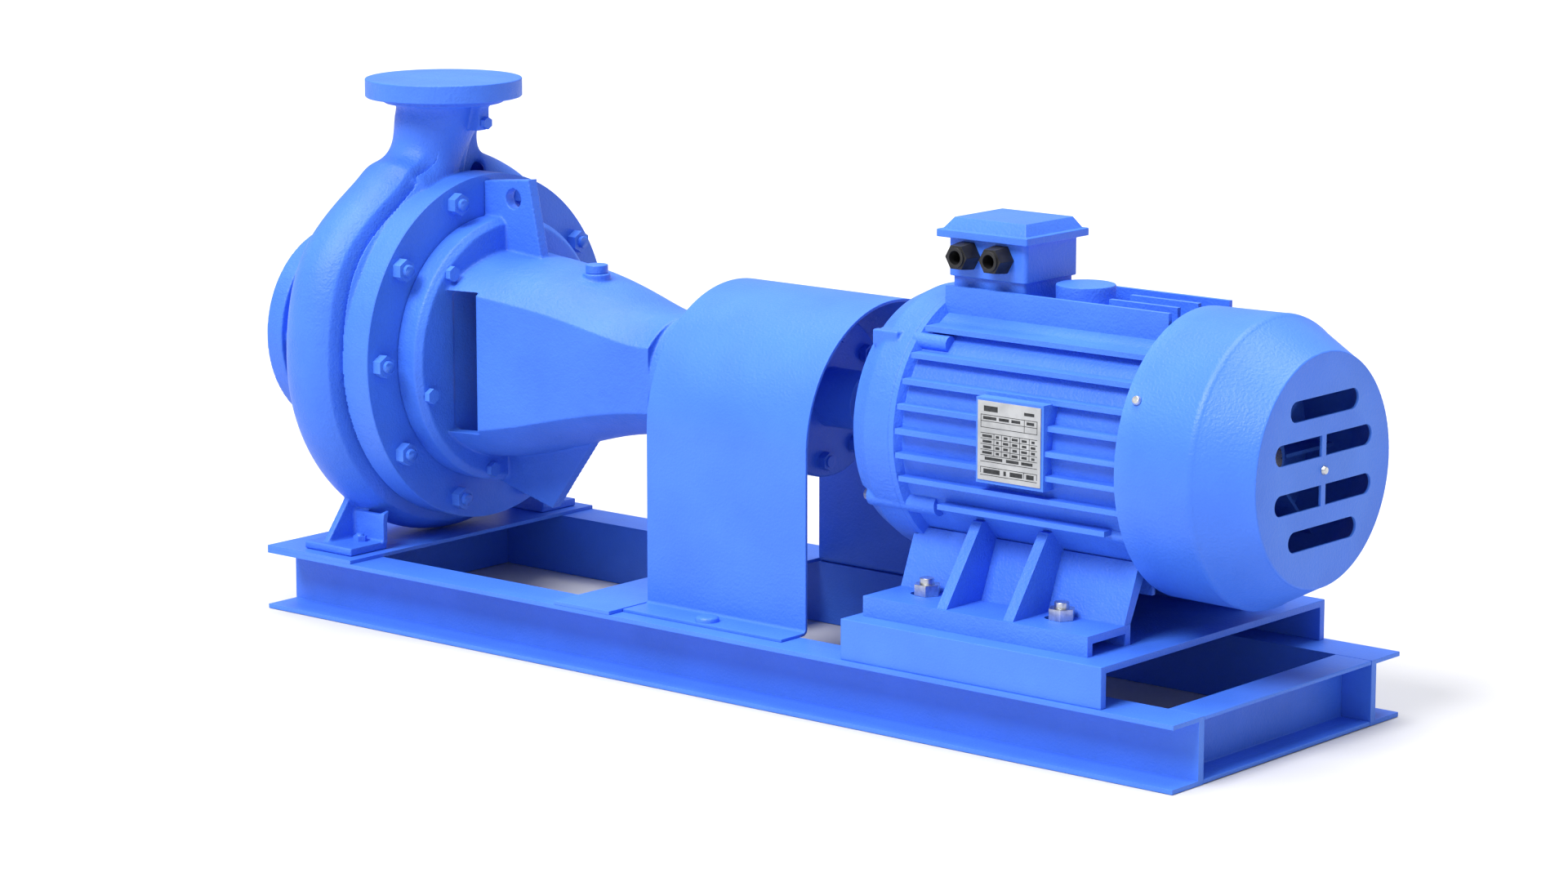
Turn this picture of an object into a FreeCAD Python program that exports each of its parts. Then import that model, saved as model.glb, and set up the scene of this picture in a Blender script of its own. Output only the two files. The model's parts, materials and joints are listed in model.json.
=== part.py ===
import FreeCAD, Part
import math
import os

import Sketcher
from FreeCAD import Placement, Rotation, Vector

# Centrifugal water pump with its motor on a channel base.
# X runs along the shaft from pump to motor, Y across, Z up; millimetres.
# Stations along X are laid out from the middle of the base; the whole machine then
# stands origin_shift further along X, so that the origin is under its middle.

SIZES = {
    # datum sizes
    "shaft_height": 213.0,
    "origin_shift": 16.0,
    # base
    "base_half_length": 455.0,
    "rail_inner": 107.5,
    "rail_outer": 145.5,
    "rail_height": 50.0,
    "rail_web": 6.5,
    "rail_flange": 3.5,
    "end_web_face": 423.0,
    "pad_plate_top": 53.0,
    "pump_pad_end": -359.0,
    "mid_plate_start": -134.6,
    "mid_plate_end": -76.5,
    "pedestal_start": 151.6,
    "pedestal_end": 389.9,
    "pedestal_half_width": 142.3,
    "pedestal_top": 81.0,
    "pedestal_sheet": 5.4,
    "pedestal_wall": 6.4,
    # casing
    "suction_face": -514.2,
    "suction_flange_radius": 85.5,
    "suction_flange_thickness": 18.0,
    "suction_bore_radius": 32.5,
    "suction_bolt_circle": 67.5,
    "suction_bolt_hole": 9.0,
    "volute_plane": -398.0,
    "volute_reach": 159.5,
    "volute_reach_growth": 9.0,
    "volute_tube": 25.0,
    "volute_tube_growth": 17.0,
    "volute_wall": 6.0,
    "discharge_x": -388.0,
    "neck_radius": 39.0,
    "ring_radius": 49.3,
    "ring_underside": 411.0,
    "discharge_flange_radius": 64.3,
    "discharge_flange_underside": 416.0,
    "discharge_face": 428.0,
    "discharge_bore_radius": 25.0,
    "discharge_bolt_circle": 50.0,
    "blank_thickness": 3.0,
    "casing_flange_front": -366.0,
    "casing_flange_rear": -352.0,
    "cover_front": -351.0,
    "cover_rear": -338.7,
    "casing_flange_radius": 142.2,
    "stud_circle": 128.0,
    "stud_radius": 5.0,
    "nut_across": 16.0,
    "spigot_radius": 95.0,
    "chamber_radius": 90.0,
    "chamber_front": -420.0,
    "spigot_face": -374.0,
    "seal_chamber_radius": 30.0,
    # bracket
    "bracket_flange_radius": 109.0,
    "bracket_flange_rear": -314.3,
    "bracket_bolt_circle": 100.0,
    "bracket_bolt_radius": 4.0,
    "lantern_facet": 58.0,
    "lantern_wall": 8.0,
    "lantern_back": -246.0,
    "window_end": -285.0,
    "housing_start": -128.0,
    "housing_radius": 50.0,
    "housing_end": -62.0,
    "end_cover_rear": -50.0,
    "bearing_outer_radius": 40.0,
    "pump_bearing_bore": 17.5,
    "pump_bearing_width": 21.0,
    "pump_bearing_front": -226.0,
    "pump_bearing_rear": -106.0,
    "oil_plug_x": -214.5,
    "oil_plug_y": -5.0,
    # coupling and guard
    "coupling_radius": 63.0,
    "coupling_hub_radius": 23.0,
    "coupling_bore": 14.0,
    "pump_half_start": -23.0,
    "pump_half_end": -1.0,
    "motor_half_start": 3.0,
    "motor_half_end": 25.0,
    "pin_circle": 50.0,
    "bush_radius": 8.7,
    "guard_start": -76.0,
    "guard_end": 84.0,
    "guard_centre": 4.25,
    "guard_half_width": 105.75,
    "guard_sheet": 2.5,
    "guard_arch_centre": 189.2,
    "guard_foot_reach": 130.0,
    "guard_screw_x": 1.4,
    "guard_screw_y": 119.6,
    # motor
    "frame_start": 163.3,
    "frame_end": 371.0,
    "frame_radius": 95.0,
    "frame_bore": 85.0,
    "frame_ring_radius": 101.6,
    "fin_tip_radius": 103.5,
    "fin_thickness": 4.0,
    "fin_pitch": 18.1,
    "top_fin": 78.0,
    "top_plate_height": 319.5,
    "stator_bore": 52.0,
    "core_start": 205.0,
    "core_end": 325.0,
    "motor_bearing_front": 114.0,
    "motor_bearing_rear": 374.0,
    "motor_bearing_width": 18.0,
    "motor_bearing_bore": 20.0,
    "foot_start": 159.0,
    "foot_end": 365.0,
    "foot_inner": 73.0,
    "foot_outer": 125.0,
    "foot_top": 96.3,
    "foot_bolt_front": 193.0,
    "foot_bolt_rear": 317.0,
    "foot_bolt_y": 91.5,
    "foot_bolt_radius": 5.5,
    "foot_slot_half_width": 6.6,
    "fan_cover_start": 373.0,
    "fan_cover_radius": 107.0,
    "fan_cover_shoulder": 436.0,
    "fan_cover_end": 479.5,
    "fan_cover_face_radius": 85.0,
    "fan_cover_sheet": 2.0,
    "box_start": 164.3,
    "box_end": 236.8,
    "box_half_width": 32.5,
    "box_floor": 326.0,
    "box_rim": 355.2,
    "box_wall": 3.0,
    "box_corner": 4.0,
    "lid_flange_top": 361.0,
    "lid_top": 369.9,
    "gland_height": 342.6,
    "plate_face": 106.0,
}

doc = FreeCAD.newDocument("centrifugal_pump")
sheet = doc.addObject("Spreadsheet::Sheet", "Sheet")
for row, (alias, number) in enumerate(SIZES.items(), 1):
    sheet.set("A%d" % row, alias)
    sheet.set("B%d" % row, str(number))
    sheet.setAlias("B%d" % row, alias)
doc.recompute()


class Size:
    """A number together with the spreadsheet expression it comes from."""

    def __init__(self, value, text):
        self.value = value
        self.text = text

    def __add__(self, other):
        other = size(other)
        return Size(self.value + other.value, "(%s + %s)" % (self.text, other.text))

    def __sub__(self, other):
        other = size(other)
        return Size(self.value - other.value, "(%s - %s)" % (self.text, other.text))

    def __mul__(self, other):
        other = size(other)
        return Size(self.value * other.value, "(%s * %s)" % (self.text, other.text))

    def __truediv__(self, other):
        other = size(other)
        return Size(self.value / other.value, "(%s / %s)" % (self.text, other.text))

    def __neg__(self):
        return Size(-self.value, "(-1 * %s)" % self.text)

    def __radd__(self, other):
        return size(other) + self

    def __rsub__(self, other):
        return size(other) - self

    def __rmul__(self, other):
        return size(other) * self


class Dimensions:
    """The sheet's sizes by name."""

    def __getattr__(self, name):
        return Size(SIZES[name], "Sheet." + name)


def size(value):
    """A plain number as a size; a size is returned as it is."""
    if isinstance(value, Size):
        return value
    return Size(float(value), "(%.6f)" % value)


D = Dimensions()
AXIS_TURN = {
    "x": Rotation(Vector(0, 1, 0), 90),
    "y": Rotation(Vector(1, 0, 0), -90),
    "z": Rotation(),
}
NODES = []


def add(kind, name):
    return doc.addObject(kind, name)


def bind(obj, prop, length):
    obj.setExpression(prop, size(length).text)


def place(obj, x, y, z, rotation=Rotation()):
    """Stand an object at (x, y, z) of the layout, turned by a rotation."""
    spot = [size(x) + D.origin_shift, size(y), size(z)]
    obj.Placement = Placement(Vector(*[v.value for v in spot]), rotation)
    for axis, length in zip("xyz", spot):
        bind(obj, "Placement.Base." + axis, length)
    return obj


def along(obj, axis, start, a, b):
    """Stand a primitive with its own Z along an axis, starting at a station on it."""
    spots = {"x": (start, a, b), "y": (a, start, b), "z": (a, b, start)}
    return place(obj, *spots[axis], AXIS_TURN[axis])


def node(label, obj):
    """Name a finished piece; its shape is exported under that name."""
    obj.Label = label
    NODES.append(obj)
    return obj


def box(x0, x1, y0, y1, z0, z1):
    obj = add("Part::Box", "block")
    bind(obj, "Length", size(x1) - x0)
    bind(obj, "Width", size(y1) - y0)
    bind(obj, "Height", size(z1) - z0)
    return place(obj, x0, y0, z0)


def cylinder(axis, start, end, radius, a, b):
    obj = add("Part::Cylinder", "rod")
    bind(obj, "Radius", radius)
    bind(obj, "Height", size(end) - start)
    return along(obj, axis, start, a, b)


def cone(axis, start, end, radius_start, radius_end, a, b):
    obj = add("Part::Cone", "taper")
    bind(obj, "Radius1", radius_start)
    bind(obj, "Radius2", radius_end)
    bind(obj, "Height", size(end) - start)
    return along(obj, axis, start, a, b)


def hexagon(axis, start, end, across, a, b):
    obj = add("Part::Prism", "hexagon")
    obj.Polygon = 6
    bind(obj, "Circumradius", size(across) / math.sqrt(3))
    bind(obj, "Height", size(end) - start)
    return along(obj, axis, start, a, b)


def sphere(radius, x, y, z):
    obj = add("Part::Sphere", "ball")
    bind(obj, "Radius", radius)
    return place(obj, x, y, z)


def fuse(*pieces, refine=True):
    obj = add("Part::MultiFuse", "joined")
    obj.Shapes = list(pieces)
    obj.Refine = refine
    return obj


def group(*pieces):
    obj = add("Part::Compound", "set")
    obj.Links = list(pieces)
    return obj


def cut(base, *tools, refine=True):
    obj = add("Part::Cut", "machined")
    obj.Base = base
    obj.Tool = tools[0] if len(tools) == 1 else group(*tools)
    obj.Refine = refine
    return obj


def common(first, second):
    obj = add("Part::Common", "shared")
    obj.Base = first
    obj.Tool = second
    return obj


def mirrored(piece):
    """The same piece on the other side of the shaft plane."""
    obj = add("Part::Mirroring", "mirror")
    obj.Source = piece
    obj.Normal = Vector(0, 1, 0)
    return obj


def both_sides(piece):
    return [piece, mirrored(piece)]


def rounded_box(x0, x1, y0, y1, z0, z1, corner):
    """A block with rounded upright corners."""
    x0, x1, y0, y1 = [size(v) for v in (x0, x1, y0, y1)]
    pieces = [box(x0 + corner, x1 - corner, y0, y1, z0, z1),
              box(x0, x1, y0 + corner, y1 - corner, z0, z1)]
    for x in (x0 + corner, x1 - corner):
        for y in (y0 + corner, y1 - corner):
            pieces.append(cylinder("z", z0, z1, corner, x, y))
    return fuse(*pieces)


def arc_between(start, finish, bend):
    """The short arc between two points and the order of its two ends."""
    chord = finish - start
    half = chord.Length / 2
    lift = math.sqrt(max(bend * bend - half * half, 0.0))
    side = Vector(-chord.y, chord.x, 0).normalize()
    centre = (start + finish) * 0.5 + side * (lift if bend > 0 else -lift)
    first, last = (start, finish) if bend > 0 else (finish, start)
    angle_first = math.atan2(first.y - centre.y, first.x - centre.x)
    angle_last = math.atan2(last.y - centre.y, last.x - centre.x)
    if angle_last < angle_first:
        angle_last += 2 * math.pi
    circle = Part.Circle(centre, Vector(0, 0, 1), abs(bend))
    order = (1, 2) if bend > 0 else (2, 1)
    return Part.ArcOfCircle(circle, angle_first, angle_last), order


def draw(sketch, outline):
    """Draw a closed outline with every corner held at its own sizes.

    A corner is (a, b), or (a, b, bend) when the edge leaving it is an arc of that
    radius: a positive bend turns left along the outline, a negative one right.
    """
    corners = [tuple(size(v) for v in corner) for corner in outline]
    ends = []
    for index, corner in enumerate(corners):
        following = corners[(index + 1) % len(corners)]
        start = Vector(corner[0].value, corner[1].value, 0)
        finish = Vector(following[0].value, following[1].value, 0)
        edge, order = Part.LineSegment(start, finish), (1, 2)
        if len(corner) == 3:
            edge, order = arc_between(start, finish, corner[2].value)
        sketch.addGeometry(edge, False)
        ends.append(order)
    for index, corner in enumerate(corners):
        following = (index + 1) % len(corners)
        sketch.addConstraint(Sketcher.Constraint(
            "Coincident", index, ends[index][1], following, ends[following][0]))
    for index, corner in enumerate(corners):
        for kind, length in zip(("DistanceX", "DistanceY"), corner):
            held = sketch.addConstraint(Sketcher.Constraint(
                kind, -1, 1, index, ends[index][0], length.value))
            sketch.setExpression("Constraints[%d]" % held, length.text)
        if len(corner) == 3:
            radius = corner[2] if corner[2].value > 0 else -corner[2]
            held = sketch.addConstraint(Sketcher.Constraint("Radius", index, radius.value))
            sketch.setExpression("Constraints[%d]" % held, radius.text)


def profile(body, role, outline, offset=0.0):
    """A sketch on one of the body's own planes, moved along that plane's normal."""
    plane = next(item for item in body.Origin.OriginFeatures if item.Role == role)
    sketch = body.newObject("Sketcher::SketchObject", body.Name + "_profile")
    sketch.AttachmentSupport = [(plane, "")]
    sketch.MapMode = "FlatFace"
    offset = size(offset)
    sketch.AttachmentOffset = Placement(Vector(0, 0, offset.value), Rotation())
    bind(sketch, "AttachmentOffset.Base.z", offset)
    draw(sketch, outline)
    return sketch


def turned(outline, name="turned"):
    """A solid of revolution about the shaft; corners are (station, radius)."""
    body = add("PartDesign::Body", name)
    sketch = profile(body, "XZ_Plane", outline)
    turn = body.newObject("PartDesign::Revolution", body.Name + "_turn")
    turn.Profile = sketch
    turn.ReferenceAxis = (sketch, ["H_Axis"])
    turn.Angle = 360
    return place(body, 0, 0, D.shaft_height)


def padded(role, outline, start, end, name="profile"):
    """An outline carried from start to end along the normal of its plane."""
    body = add("PartDesign::Body", name)
    sketch = profile(body, role, outline)
    pad = body.newObject("PartDesign::Pad", body.Name + "_pad")
    pad.Profile = sketch
    bind(pad, "Length", size(end) - start)
    spots = {"XY_Plane": (0, 0, start), "YZ_Plane": (start, 0, 0), "XZ_Plane": (0, end, 0)}
    return place(body, *spots[role])


def polar(radius, degrees):
    """Y and Z of a point round the shaft, measured from the top toward +Y."""
    turn = math.radians(degrees)
    return size(radius) * math.sin(turn), D.shaft_height + size(radius) * math.cos(turn)


def ring(count, first=0.0):
    return [first + 360.0 / count * index for index in range(count)]


def ring_cylinders(count, first, circle, start, end, radius):
    """Cylinders along the shaft direction, spaced round a bolt circle."""
    return [cylinder("x", start, end, radius, *polar(circle, angle))
            for angle in ring(count, first)]


def radial_box(x0, x1, thickness, inner, outer, degrees):
    """A flat blade standing out from the shaft at an angle from the top."""
    turn = math.radians(degrees)
    half = size(thickness) / 2
    inner = size(inner)
    obj = add("Part::Box", "blade")
    bind(obj, "Length", size(x1) - x0)
    bind(obj, "Width", thickness)
    bind(obj, "Height", size(outer) - inner)
    y = inner * math.sin(turn) - half * math.cos(turn)
    z = D.shaft_height + inner * math.cos(turn) + half * math.sin(turn)
    return place(obj, x0, y, z, Rotation(Vector(1, 0, 0), -degrees))


def bolt(axis, seat, side, radius, length, across, head, a, b):
    """A hexagon bolt; its head stands on the seat on the given side."""
    seat = size(seat)
    if side > 0:
        crown = hexagon(axis, seat, seat + head, across, a, b)
        shank = cylinder(axis, seat - length, seat + 1, radius, a, b)
    else:
        crown = hexagon(axis, seat - head, seat, across, a, b)
        shank = cylinder(axis, seat - 1, seat + length, radius, a, b)
    return fuse(crown, shank)


def round_screw(axis, seat, side, radius, length, head_radius, head, a, b):
    """A screw with a round, slightly tapered head."""
    seat = size(seat)
    if side > 0:
        crown = cone(axis, seat, seat + head, head_radius, size(head_radius) * 0.7, a, b)
        shank = cylinder(axis, seat - length, seat + head / 2, radius, a, b)
    else:
        crown = cone(axis, seat - head, seat, size(head_radius) * 0.7, head_radius, a, b)
        shank = cylinder(axis, seat - head / 2, seat + length, radius, a, b)
    return fuse(crown, shank)


def nut(axis, start, end, across, bore, a, b):
    return cut(hexagon(axis, start, end, across, a, b),
               cylinder(axis, size(start) - 1, size(end) + 1, bore, a, b))


# ---------------------------------------------------------------- base

def channel(role, inner, outer, web, start, end, name):
    """A rolled channel: its web stands on the inner line, its flanges point outward."""
    top = D.rail_height
    flange = D.rail_flange
    outline = [(inner, 0), (outer, 0), (outer, flange), (web, flange),
               (web, top - flange), (outer, top - flange), (outer, top), (inner, top)]
    return padded(role, outline, start, end, name)


near_rail = channel("YZ_Plane", -D.rail_inner, -D.rail_outer, -(D.rail_inner + D.rail_web),
                    -D.base_half_length, D.base_half_length, "rail_channel")
far_rail = channel("YZ_Plane", D.rail_inner, D.rail_outer, D.rail_inner + D.rail_web,
                   -D.base_half_length, D.base_half_length, "rail_channel")
PUMP_FOOT_BOLT = (size(-386), size(107))


def screw_hole(side):
    """The guard screw's hole in a rail's upper flange."""
    return cylinder("z", D.rail_height - D.rail_flange - 1, D.rail_height + 1, 3.2,
                    D.guard_screw_x, D.guard_screw_y * side)


node("base_rail_near", cut(near_rail, screw_hole(-1)))
node("base_rail_far", cut(far_rail, screw_hole(1)))
node("base_end_pump", channel("XZ_Plane", -D.end_web_face, -D.base_half_length,
                              -(D.end_web_face + D.rail_web),
                              -D.rail_inner, D.rail_inner, "end_channel"))
node("base_end_motor", channel("XZ_Plane", D.end_web_face, D.base_half_length,
                               D.end_web_face + D.rail_web,
                               -D.rail_inner, D.rail_inner, "end_channel"))
node("pump_pad_plate", cut(
    box(-D.base_half_length, D.pump_pad_end, -D.rail_outer, D.rail_outer,
        D.rail_height, D.pad_plate_top),
    *[cylinder("z", D.rail_height - 1, D.pad_plate_top + 1, 3.05,
               PUMP_FOOT_BOLT[0], PUMP_FOOT_BOLT[1] * side) for side in (-1, 1)]))
node("mid_cross_plate", box(D.mid_plate_start, D.mid_plate_end, -D.rail_outer, D.rail_outer,
                            D.rail_height, D.pad_plate_top))

FOOT_BOLTS = [(x, D.foot_bolt_y * side) for x in (D.foot_bolt_front, D.foot_bolt_rear)
              for side in (-1, 1)]
wide = D.pedestal_half_width
inside = wide - D.pedestal_wall
sheet_under = D.pedestal_top - D.pedestal_sheet
pedestal = padded("YZ_Plane", [
    (-wide, D.rail_height), (-inside, D.rail_height), (-inside, sheet_under),
    (inside, sheet_under), (inside, D.rail_height), (wide, D.rail_height),
    (wide, D.pedestal_top), (-wide, D.pedestal_top),
], D.pedestal_start, D.pedestal_end, "pedestal_profile")
node("motor_pedestal", cut(pedestal, *[
    cylinder("z", sheet_under - 1, D.pedestal_top + 1, D.foot_bolt_radius + 0.4, x, y)
    for x, y in FOOT_BOLTS]))

# ---------------------------------------------------------------- volute casing

SPIRAL = [14 + 27 * step for step in range(13)]


def spiral_sizes(degrees):
    """Centre radius and tube radius of the volute at an angle from the top."""
    share = degrees / 360.0
    tube = D.volute_tube + D.volute_tube_growth * share
    return D.volute_reach + D.volute_reach_growth * share ** 8 - tube, tube


def section(x, y, z, radius, degrees):
    """A round section whose normal is turned about X."""
    obj = add("Part::Circle", "section")
    bind(obj, "Radius", radius)
    return place(obj, x, y, z, Rotation(Vector(1, 0, 0), -90 - degrees))


# The bend from the end of the spiral up into the discharge neck: each section is
# (back from the discharge, y, z, radius, climb of the path in degrees).
NECK_BEND = (
    (9.0, -40, 334, 41, 36), (8.0, -32, 345, 37.5, 54), (7.0, -23.5, 357, 33.5, 72),
    (5.5, -14.5, 371, 31.3, 86), (3.5, -9, 385, 33, 90), (1.5, -4, 400, 36.5, 90),
    (0.0, -1, 412, 39, 90),
)


def volute_tube(wall):
    """The spiral tube and the bend that turns it up into the discharge neck."""
    sections = []
    for degrees in SPIRAL:
        centre, tube = spiral_sizes(degrees)
        y, z = polar(centre, degrees)
        sections.append(section(D.volute_plane, y, z, tube - wall, degrees))
    for back, y, z, radius, climb in NECK_BEND:
        sections.append(section(D.discharge_x - back, y, z, size(radius) - wall, -climb))
    loft = add("Part::Loft", "volute_tube")
    loft.Sections = sections
    loft.Solid = True
    return loft


FOOT_PAD_TOP = 59.5


def foot(side):
    """One cast foot: pad, upright web and sloping rib."""
    pad = box(-422, -369, min(side * 93, side * 135), max(side * 93, side * 135),
              D.pad_plate_top, FOOT_PAD_TOP)
    web = padded("XZ_Plane", [(-404, 58), (-368, 58), (-368, 82), (-404, 82)],
                 min(side * 93, side * 98), max(side * 93, side * 98), "foot_web")
    rib = padded("YZ_Plane", [(side * 130, 58), (side * 105, 91), (side * 92, 110),
                              (side * 70, 110), (side * 80, 74), (side * 93, 58)],
                 -407, -401, "foot_rib")
    return fuse(pad, web, rib)


flange_back = D.suction_face + D.suction_flange_thickness
front_wall = turned([
    (D.suction_face, 0), (D.suction_face, D.suction_flange_radius),
    (flange_back, D.suction_flange_radius), (flange_back, 47), (-470, 43.5),
    (-448, 50), (-438, 66), (-432, 90), (-427, 112), (D.casing_flange_front, 112),
    (D.casing_flange_front, D.casing_flange_radius),
    (D.casing_flange_rear, D.casing_flange_radius), (D.casing_flange_rear, 0),
], "casing_body")
hollow = turned([
    (D.suction_face - 1, 0), (D.suction_face - 1, D.suction_bore_radius),
    (-440, D.suction_bore_radius), (-434, 36), (-434, 47), (D.chamber_front, 47),
    (D.chamber_front, D.chamber_radius), (-404, D.chamber_radius), (-404, 112),
    (-386, 112), (-386, D.chamber_radius), (-375, D.chamber_radius),
    (-375, D.spigot_radius + 0.15), (D.casing_flange_rear + 1, D.spigot_radius + 0.15),
    (D.casing_flange_rear + 1, 0),
], "casing_hollow")
neck = [
    cylinder("z", D.ring_underside, D.discharge_flange_underside, D.ring_radius,
             D.discharge_x, 0),
    cylinder("z", D.discharge_flange_underside, D.discharge_face,
             D.discharge_flange_radius, D.discharge_x, 0),
]
neck_rib = padded("YZ_Plane", [(10, 400), (36, 400), (40.2, 382), (45.8, 361), (50, 345),
                               (10, 345)], -393, -387, "neck_rib")
gauge_boss = padded("XZ_Plane", [(-356, 412), (-342.5, 412), (-342.5, 395),
                                 (-346, 390.5), (-356, 390.5)], -5.5, 6.5, "gauge_boss")
suction_ribs = []
for angle in ring(4):
    rib = padded("XZ_Plane", [(flange_back - 1, 40), (flange_back - 1, 79),
                              (-434, 92), (-430, 60), (-440, 40)], -3, 3, "neck_rib")
    lean = math.radians(angle)
    suction_ribs.append(place(rib, 0, 3 * math.cos(lean),
                              D.shaft_height - 3 * math.sin(lean),
                              Rotation(Vector(1, 0, 0), -angle)))
DRAIN_Y, DRAIN_Z = polar(126, 180)
drain_boss = cylinder("x", -438, -415, 12, DRAIN_Y, DRAIN_Z)
casing_solid = fuse(front_wall, volute_tube(0), *neck, neck_rib, gauge_boss, *suction_ribs,
                    drain_boss, foot(-1), foot(1), refine=False)
casing_holes = ring_cylinders(4, 45, D.suction_bolt_circle, D.suction_face - 1,
                              flange_back + 1, D.suction_bolt_hole)
casing_holes += ring_cylinders(10, 18, D.stud_circle, D.casing_flange_rear - 6.5,
                               D.casing_flange_rear + 1, D.stud_radius)
casing_holes += [
    cone("z", D.ring_underside, D.discharge_face + 1, D.neck_radius - D.volute_wall,
         D.discharge_bore_radius, D.discharge_x, 0),
    cylinder("x", -439, -423, 5, DRAIN_Y, DRAIN_Z),
    cylinder("x", -362, -342, 3, 0.5, 397),
]
for side in (-1, 1):
    casing_holes.append(cylinder("z", 52, 61, 3.4, PUMP_FOOT_BOLT[0], PUMP_FOOT_BOLT[1] * side))
for angle in ring(4, 45):
    turn = math.radians(angle)
    casing_holes.append(cylinder(
        "z", D.discharge_face - 9, D.discharge_face + 1, 5,
        D.discharge_x + D.discharge_bolt_circle * math.cos(turn),
        D.discharge_bolt_circle * math.sin(turn)))
behind_flange = turned([
    (D.casing_flange_rear, 0), (D.casing_flange_rear, D.casing_flange_radius + 0.5),
    (D.cover_rear + 16, D.casing_flange_radius + 0.5), (D.cover_rear + 16, 0),
], "behind_flange")
node("volute_casing", cut(casing_solid, hollow, volute_tube(D.volute_wall), behind_flange,
                          *casing_holes, refine=False))
node("discharge_cover", cylinder("z", D.discharge_face, D.discharge_face + D.blank_thickness,
                                 D.discharge_flange_radius, D.discharge_x, 0))
node("casing_plugs", group(
    bolt("x", -342.5, 1, 2.9, 12, 9, 4.5, 0.5, 397),
    bolt("x", -438, -1, 4.9, 14, 15, 6, DRAIN_Y, DRAIN_Z)))
node("wear_ring", turned([(-434, 42.4), (-434, 46.98), (-421, 46.98), (-421, 42.4)]))

# ---------------------------------------------------------------- casing cover and seal

cover_solid = turned([
    (D.spigot_face, D.seal_chamber_radius), (D.spigot_face, D.spigot_radius),
    (D.cover_front, D.spigot_radius), (D.cover_front, D.casing_flange_radius),
    (D.cover_rear, D.casing_flange_radius), (D.cover_rear, 65.9), (-334, 65.9), (-331, 50),
    (-324, 46), (-324, 19), (-335, 19), (-335, D.seal_chamber_radius),
], "cover_body")
node("casing_cover", cut(
    cover_solid,
    *ring_cylinders(10, 18, D.stud_circle, D.cover_front - 1, D.cover_rear + 1, 5.5),
    *ring_cylinders(6, 15, D.bracket_bolt_circle, D.cover_rear - 10, D.cover_rear + 1,
                    D.bracket_bolt_radius + 0.04)))
node("casing_gasket", cut(
    turned([(D.casing_flange_rear, 96), (D.casing_flange_rear, D.casing_flange_radius),
            (D.cover_front, D.casing_flange_radius), (D.cover_front, 96)]),
    *ring_cylinders(10, 18, D.stud_circle, D.casing_flange_rear - 1, D.cover_front + 1, 5.5)))
studs = ring_cylinders(10, 18, D.stud_circle, D.casing_flange_rear - 6.4,
                       D.cover_rear + 11.5, D.stud_radius)
nuts = [nut("x", D.cover_rear, D.cover_rear + 8.2, D.nut_across, D.stud_radius + 0.05,
            *polar(D.stud_circle, angle)) for angle in ring(10, 18)]
node("casing_studs_nuts", group(*studs, *nuts))
node("seal_seat", turned([(-343, 19.5), (-343, 29.9), (-335, 29.9), (-335, 19.5)]))
node("seal_rotary", turned([(-371, 17.05), (-371, 27), (-352, 27), (-350, 25.5),
                            (-350, 24.5), (-343.05, 24.5), (-343.05, 20.5), (-347, 20.5),
                            (-347, 17.05)]))
node("shaft_sleeve", turned([(-378, 12.55), (-378, 17), (-300, 17), (-300, 12.55)]))

# ---------------------------------------------------------------- impeller

VANE_TURN = 0.62
front_shroud = turned([(-430, 36), (-430, 42), (-413, 42), (-408, 50), (-406, 84),
                       (-403, 84), (-403, 46), (-407, 39), (-413, 36)], "front_shroud")
back_shroud = turned([(-412, 10.05), (-412, 16), (-400, 19), (-391, 30), (-389, 44),
                      (-389, 84), (-386, 84), (-384, 34), (-378, 26), (-378, 10.05)],
                     "back_shroud")
vane_outline = []
for radius, lean in ((46, 0.0), (58, -0.22), (71, -0.42), (84, -VANE_TURN)):
    vane_outline.append((radius * math.sin(lean), radius * math.cos(lean)))
for radius, lean in ((84, -VANE_TURN - 0.06), (71, -0.49), (58, -0.30), (46, -0.10)):
    vane_outline.append((radius * math.sin(lean), radius * math.cos(lean)))
vanes = []
for angle in ring(6):
    vane = padded("YZ_Plane", vane_outline, -404.5, -387.5, "vane")
    vanes.append(place(vane, -404.5, 0, D.shaft_height, Rotation(Vector(1, 0, 0), -angle)))
key_slot = box(-405, -382, -3, 3, D.shaft_height + 7, D.shaft_height + 12.8)
node("impeller", cut(fuse(front_shroud, back_shroud, *vanes), key_slot))
node("impeller_nut", cut(
    fuse(hexagon("x", -422, -412, 24, 0, D.shaft_height),
         cone("x", -430, -422, 5, 10.5, 0, D.shaft_height)),
    cylinder("x", -424, -411, 8.05, 0, D.shaft_height)))

# ---------------------------------------------------------------- bearing bracket


def lantern_section(half_width, top, bottom, upper, lower):
    """A section with flat sides and an arched top and bottom, about the shaft."""
    half_width, top, bottom, upper, lower = [
        size(v) for v in (half_width, top, bottom, upper, lower)]
    rise = top - upper
    fall = bottom - lower
    top_bend = (half_width * half_width + rise * rise) / (rise * 2)
    bottom_bend = (half_width * half_width + fall * fall) / (fall * 2)
    return [(half_width, -lower), (half_width, upper, top_bend),
            (-half_width, upper), (-half_width, -lower, bottom_bend)]


def lantern(sections, name):
    """A body lofted through sections: station, half width, top, bottom, flat's two ends."""
    body = add("PartDesign::Body", name)
    sketches = [profile(body, "YZ_Plane", lantern_section(*sizes), station)
                for station, *sizes in sections]
    loft = body.newObject("PartDesign::AdditiveLoft", name + "_loft")
    loft.Profile = sketches[0]
    loft.Sections = sketches[1:]
    return place(body, 0, 0, D.shaft_height)


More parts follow.
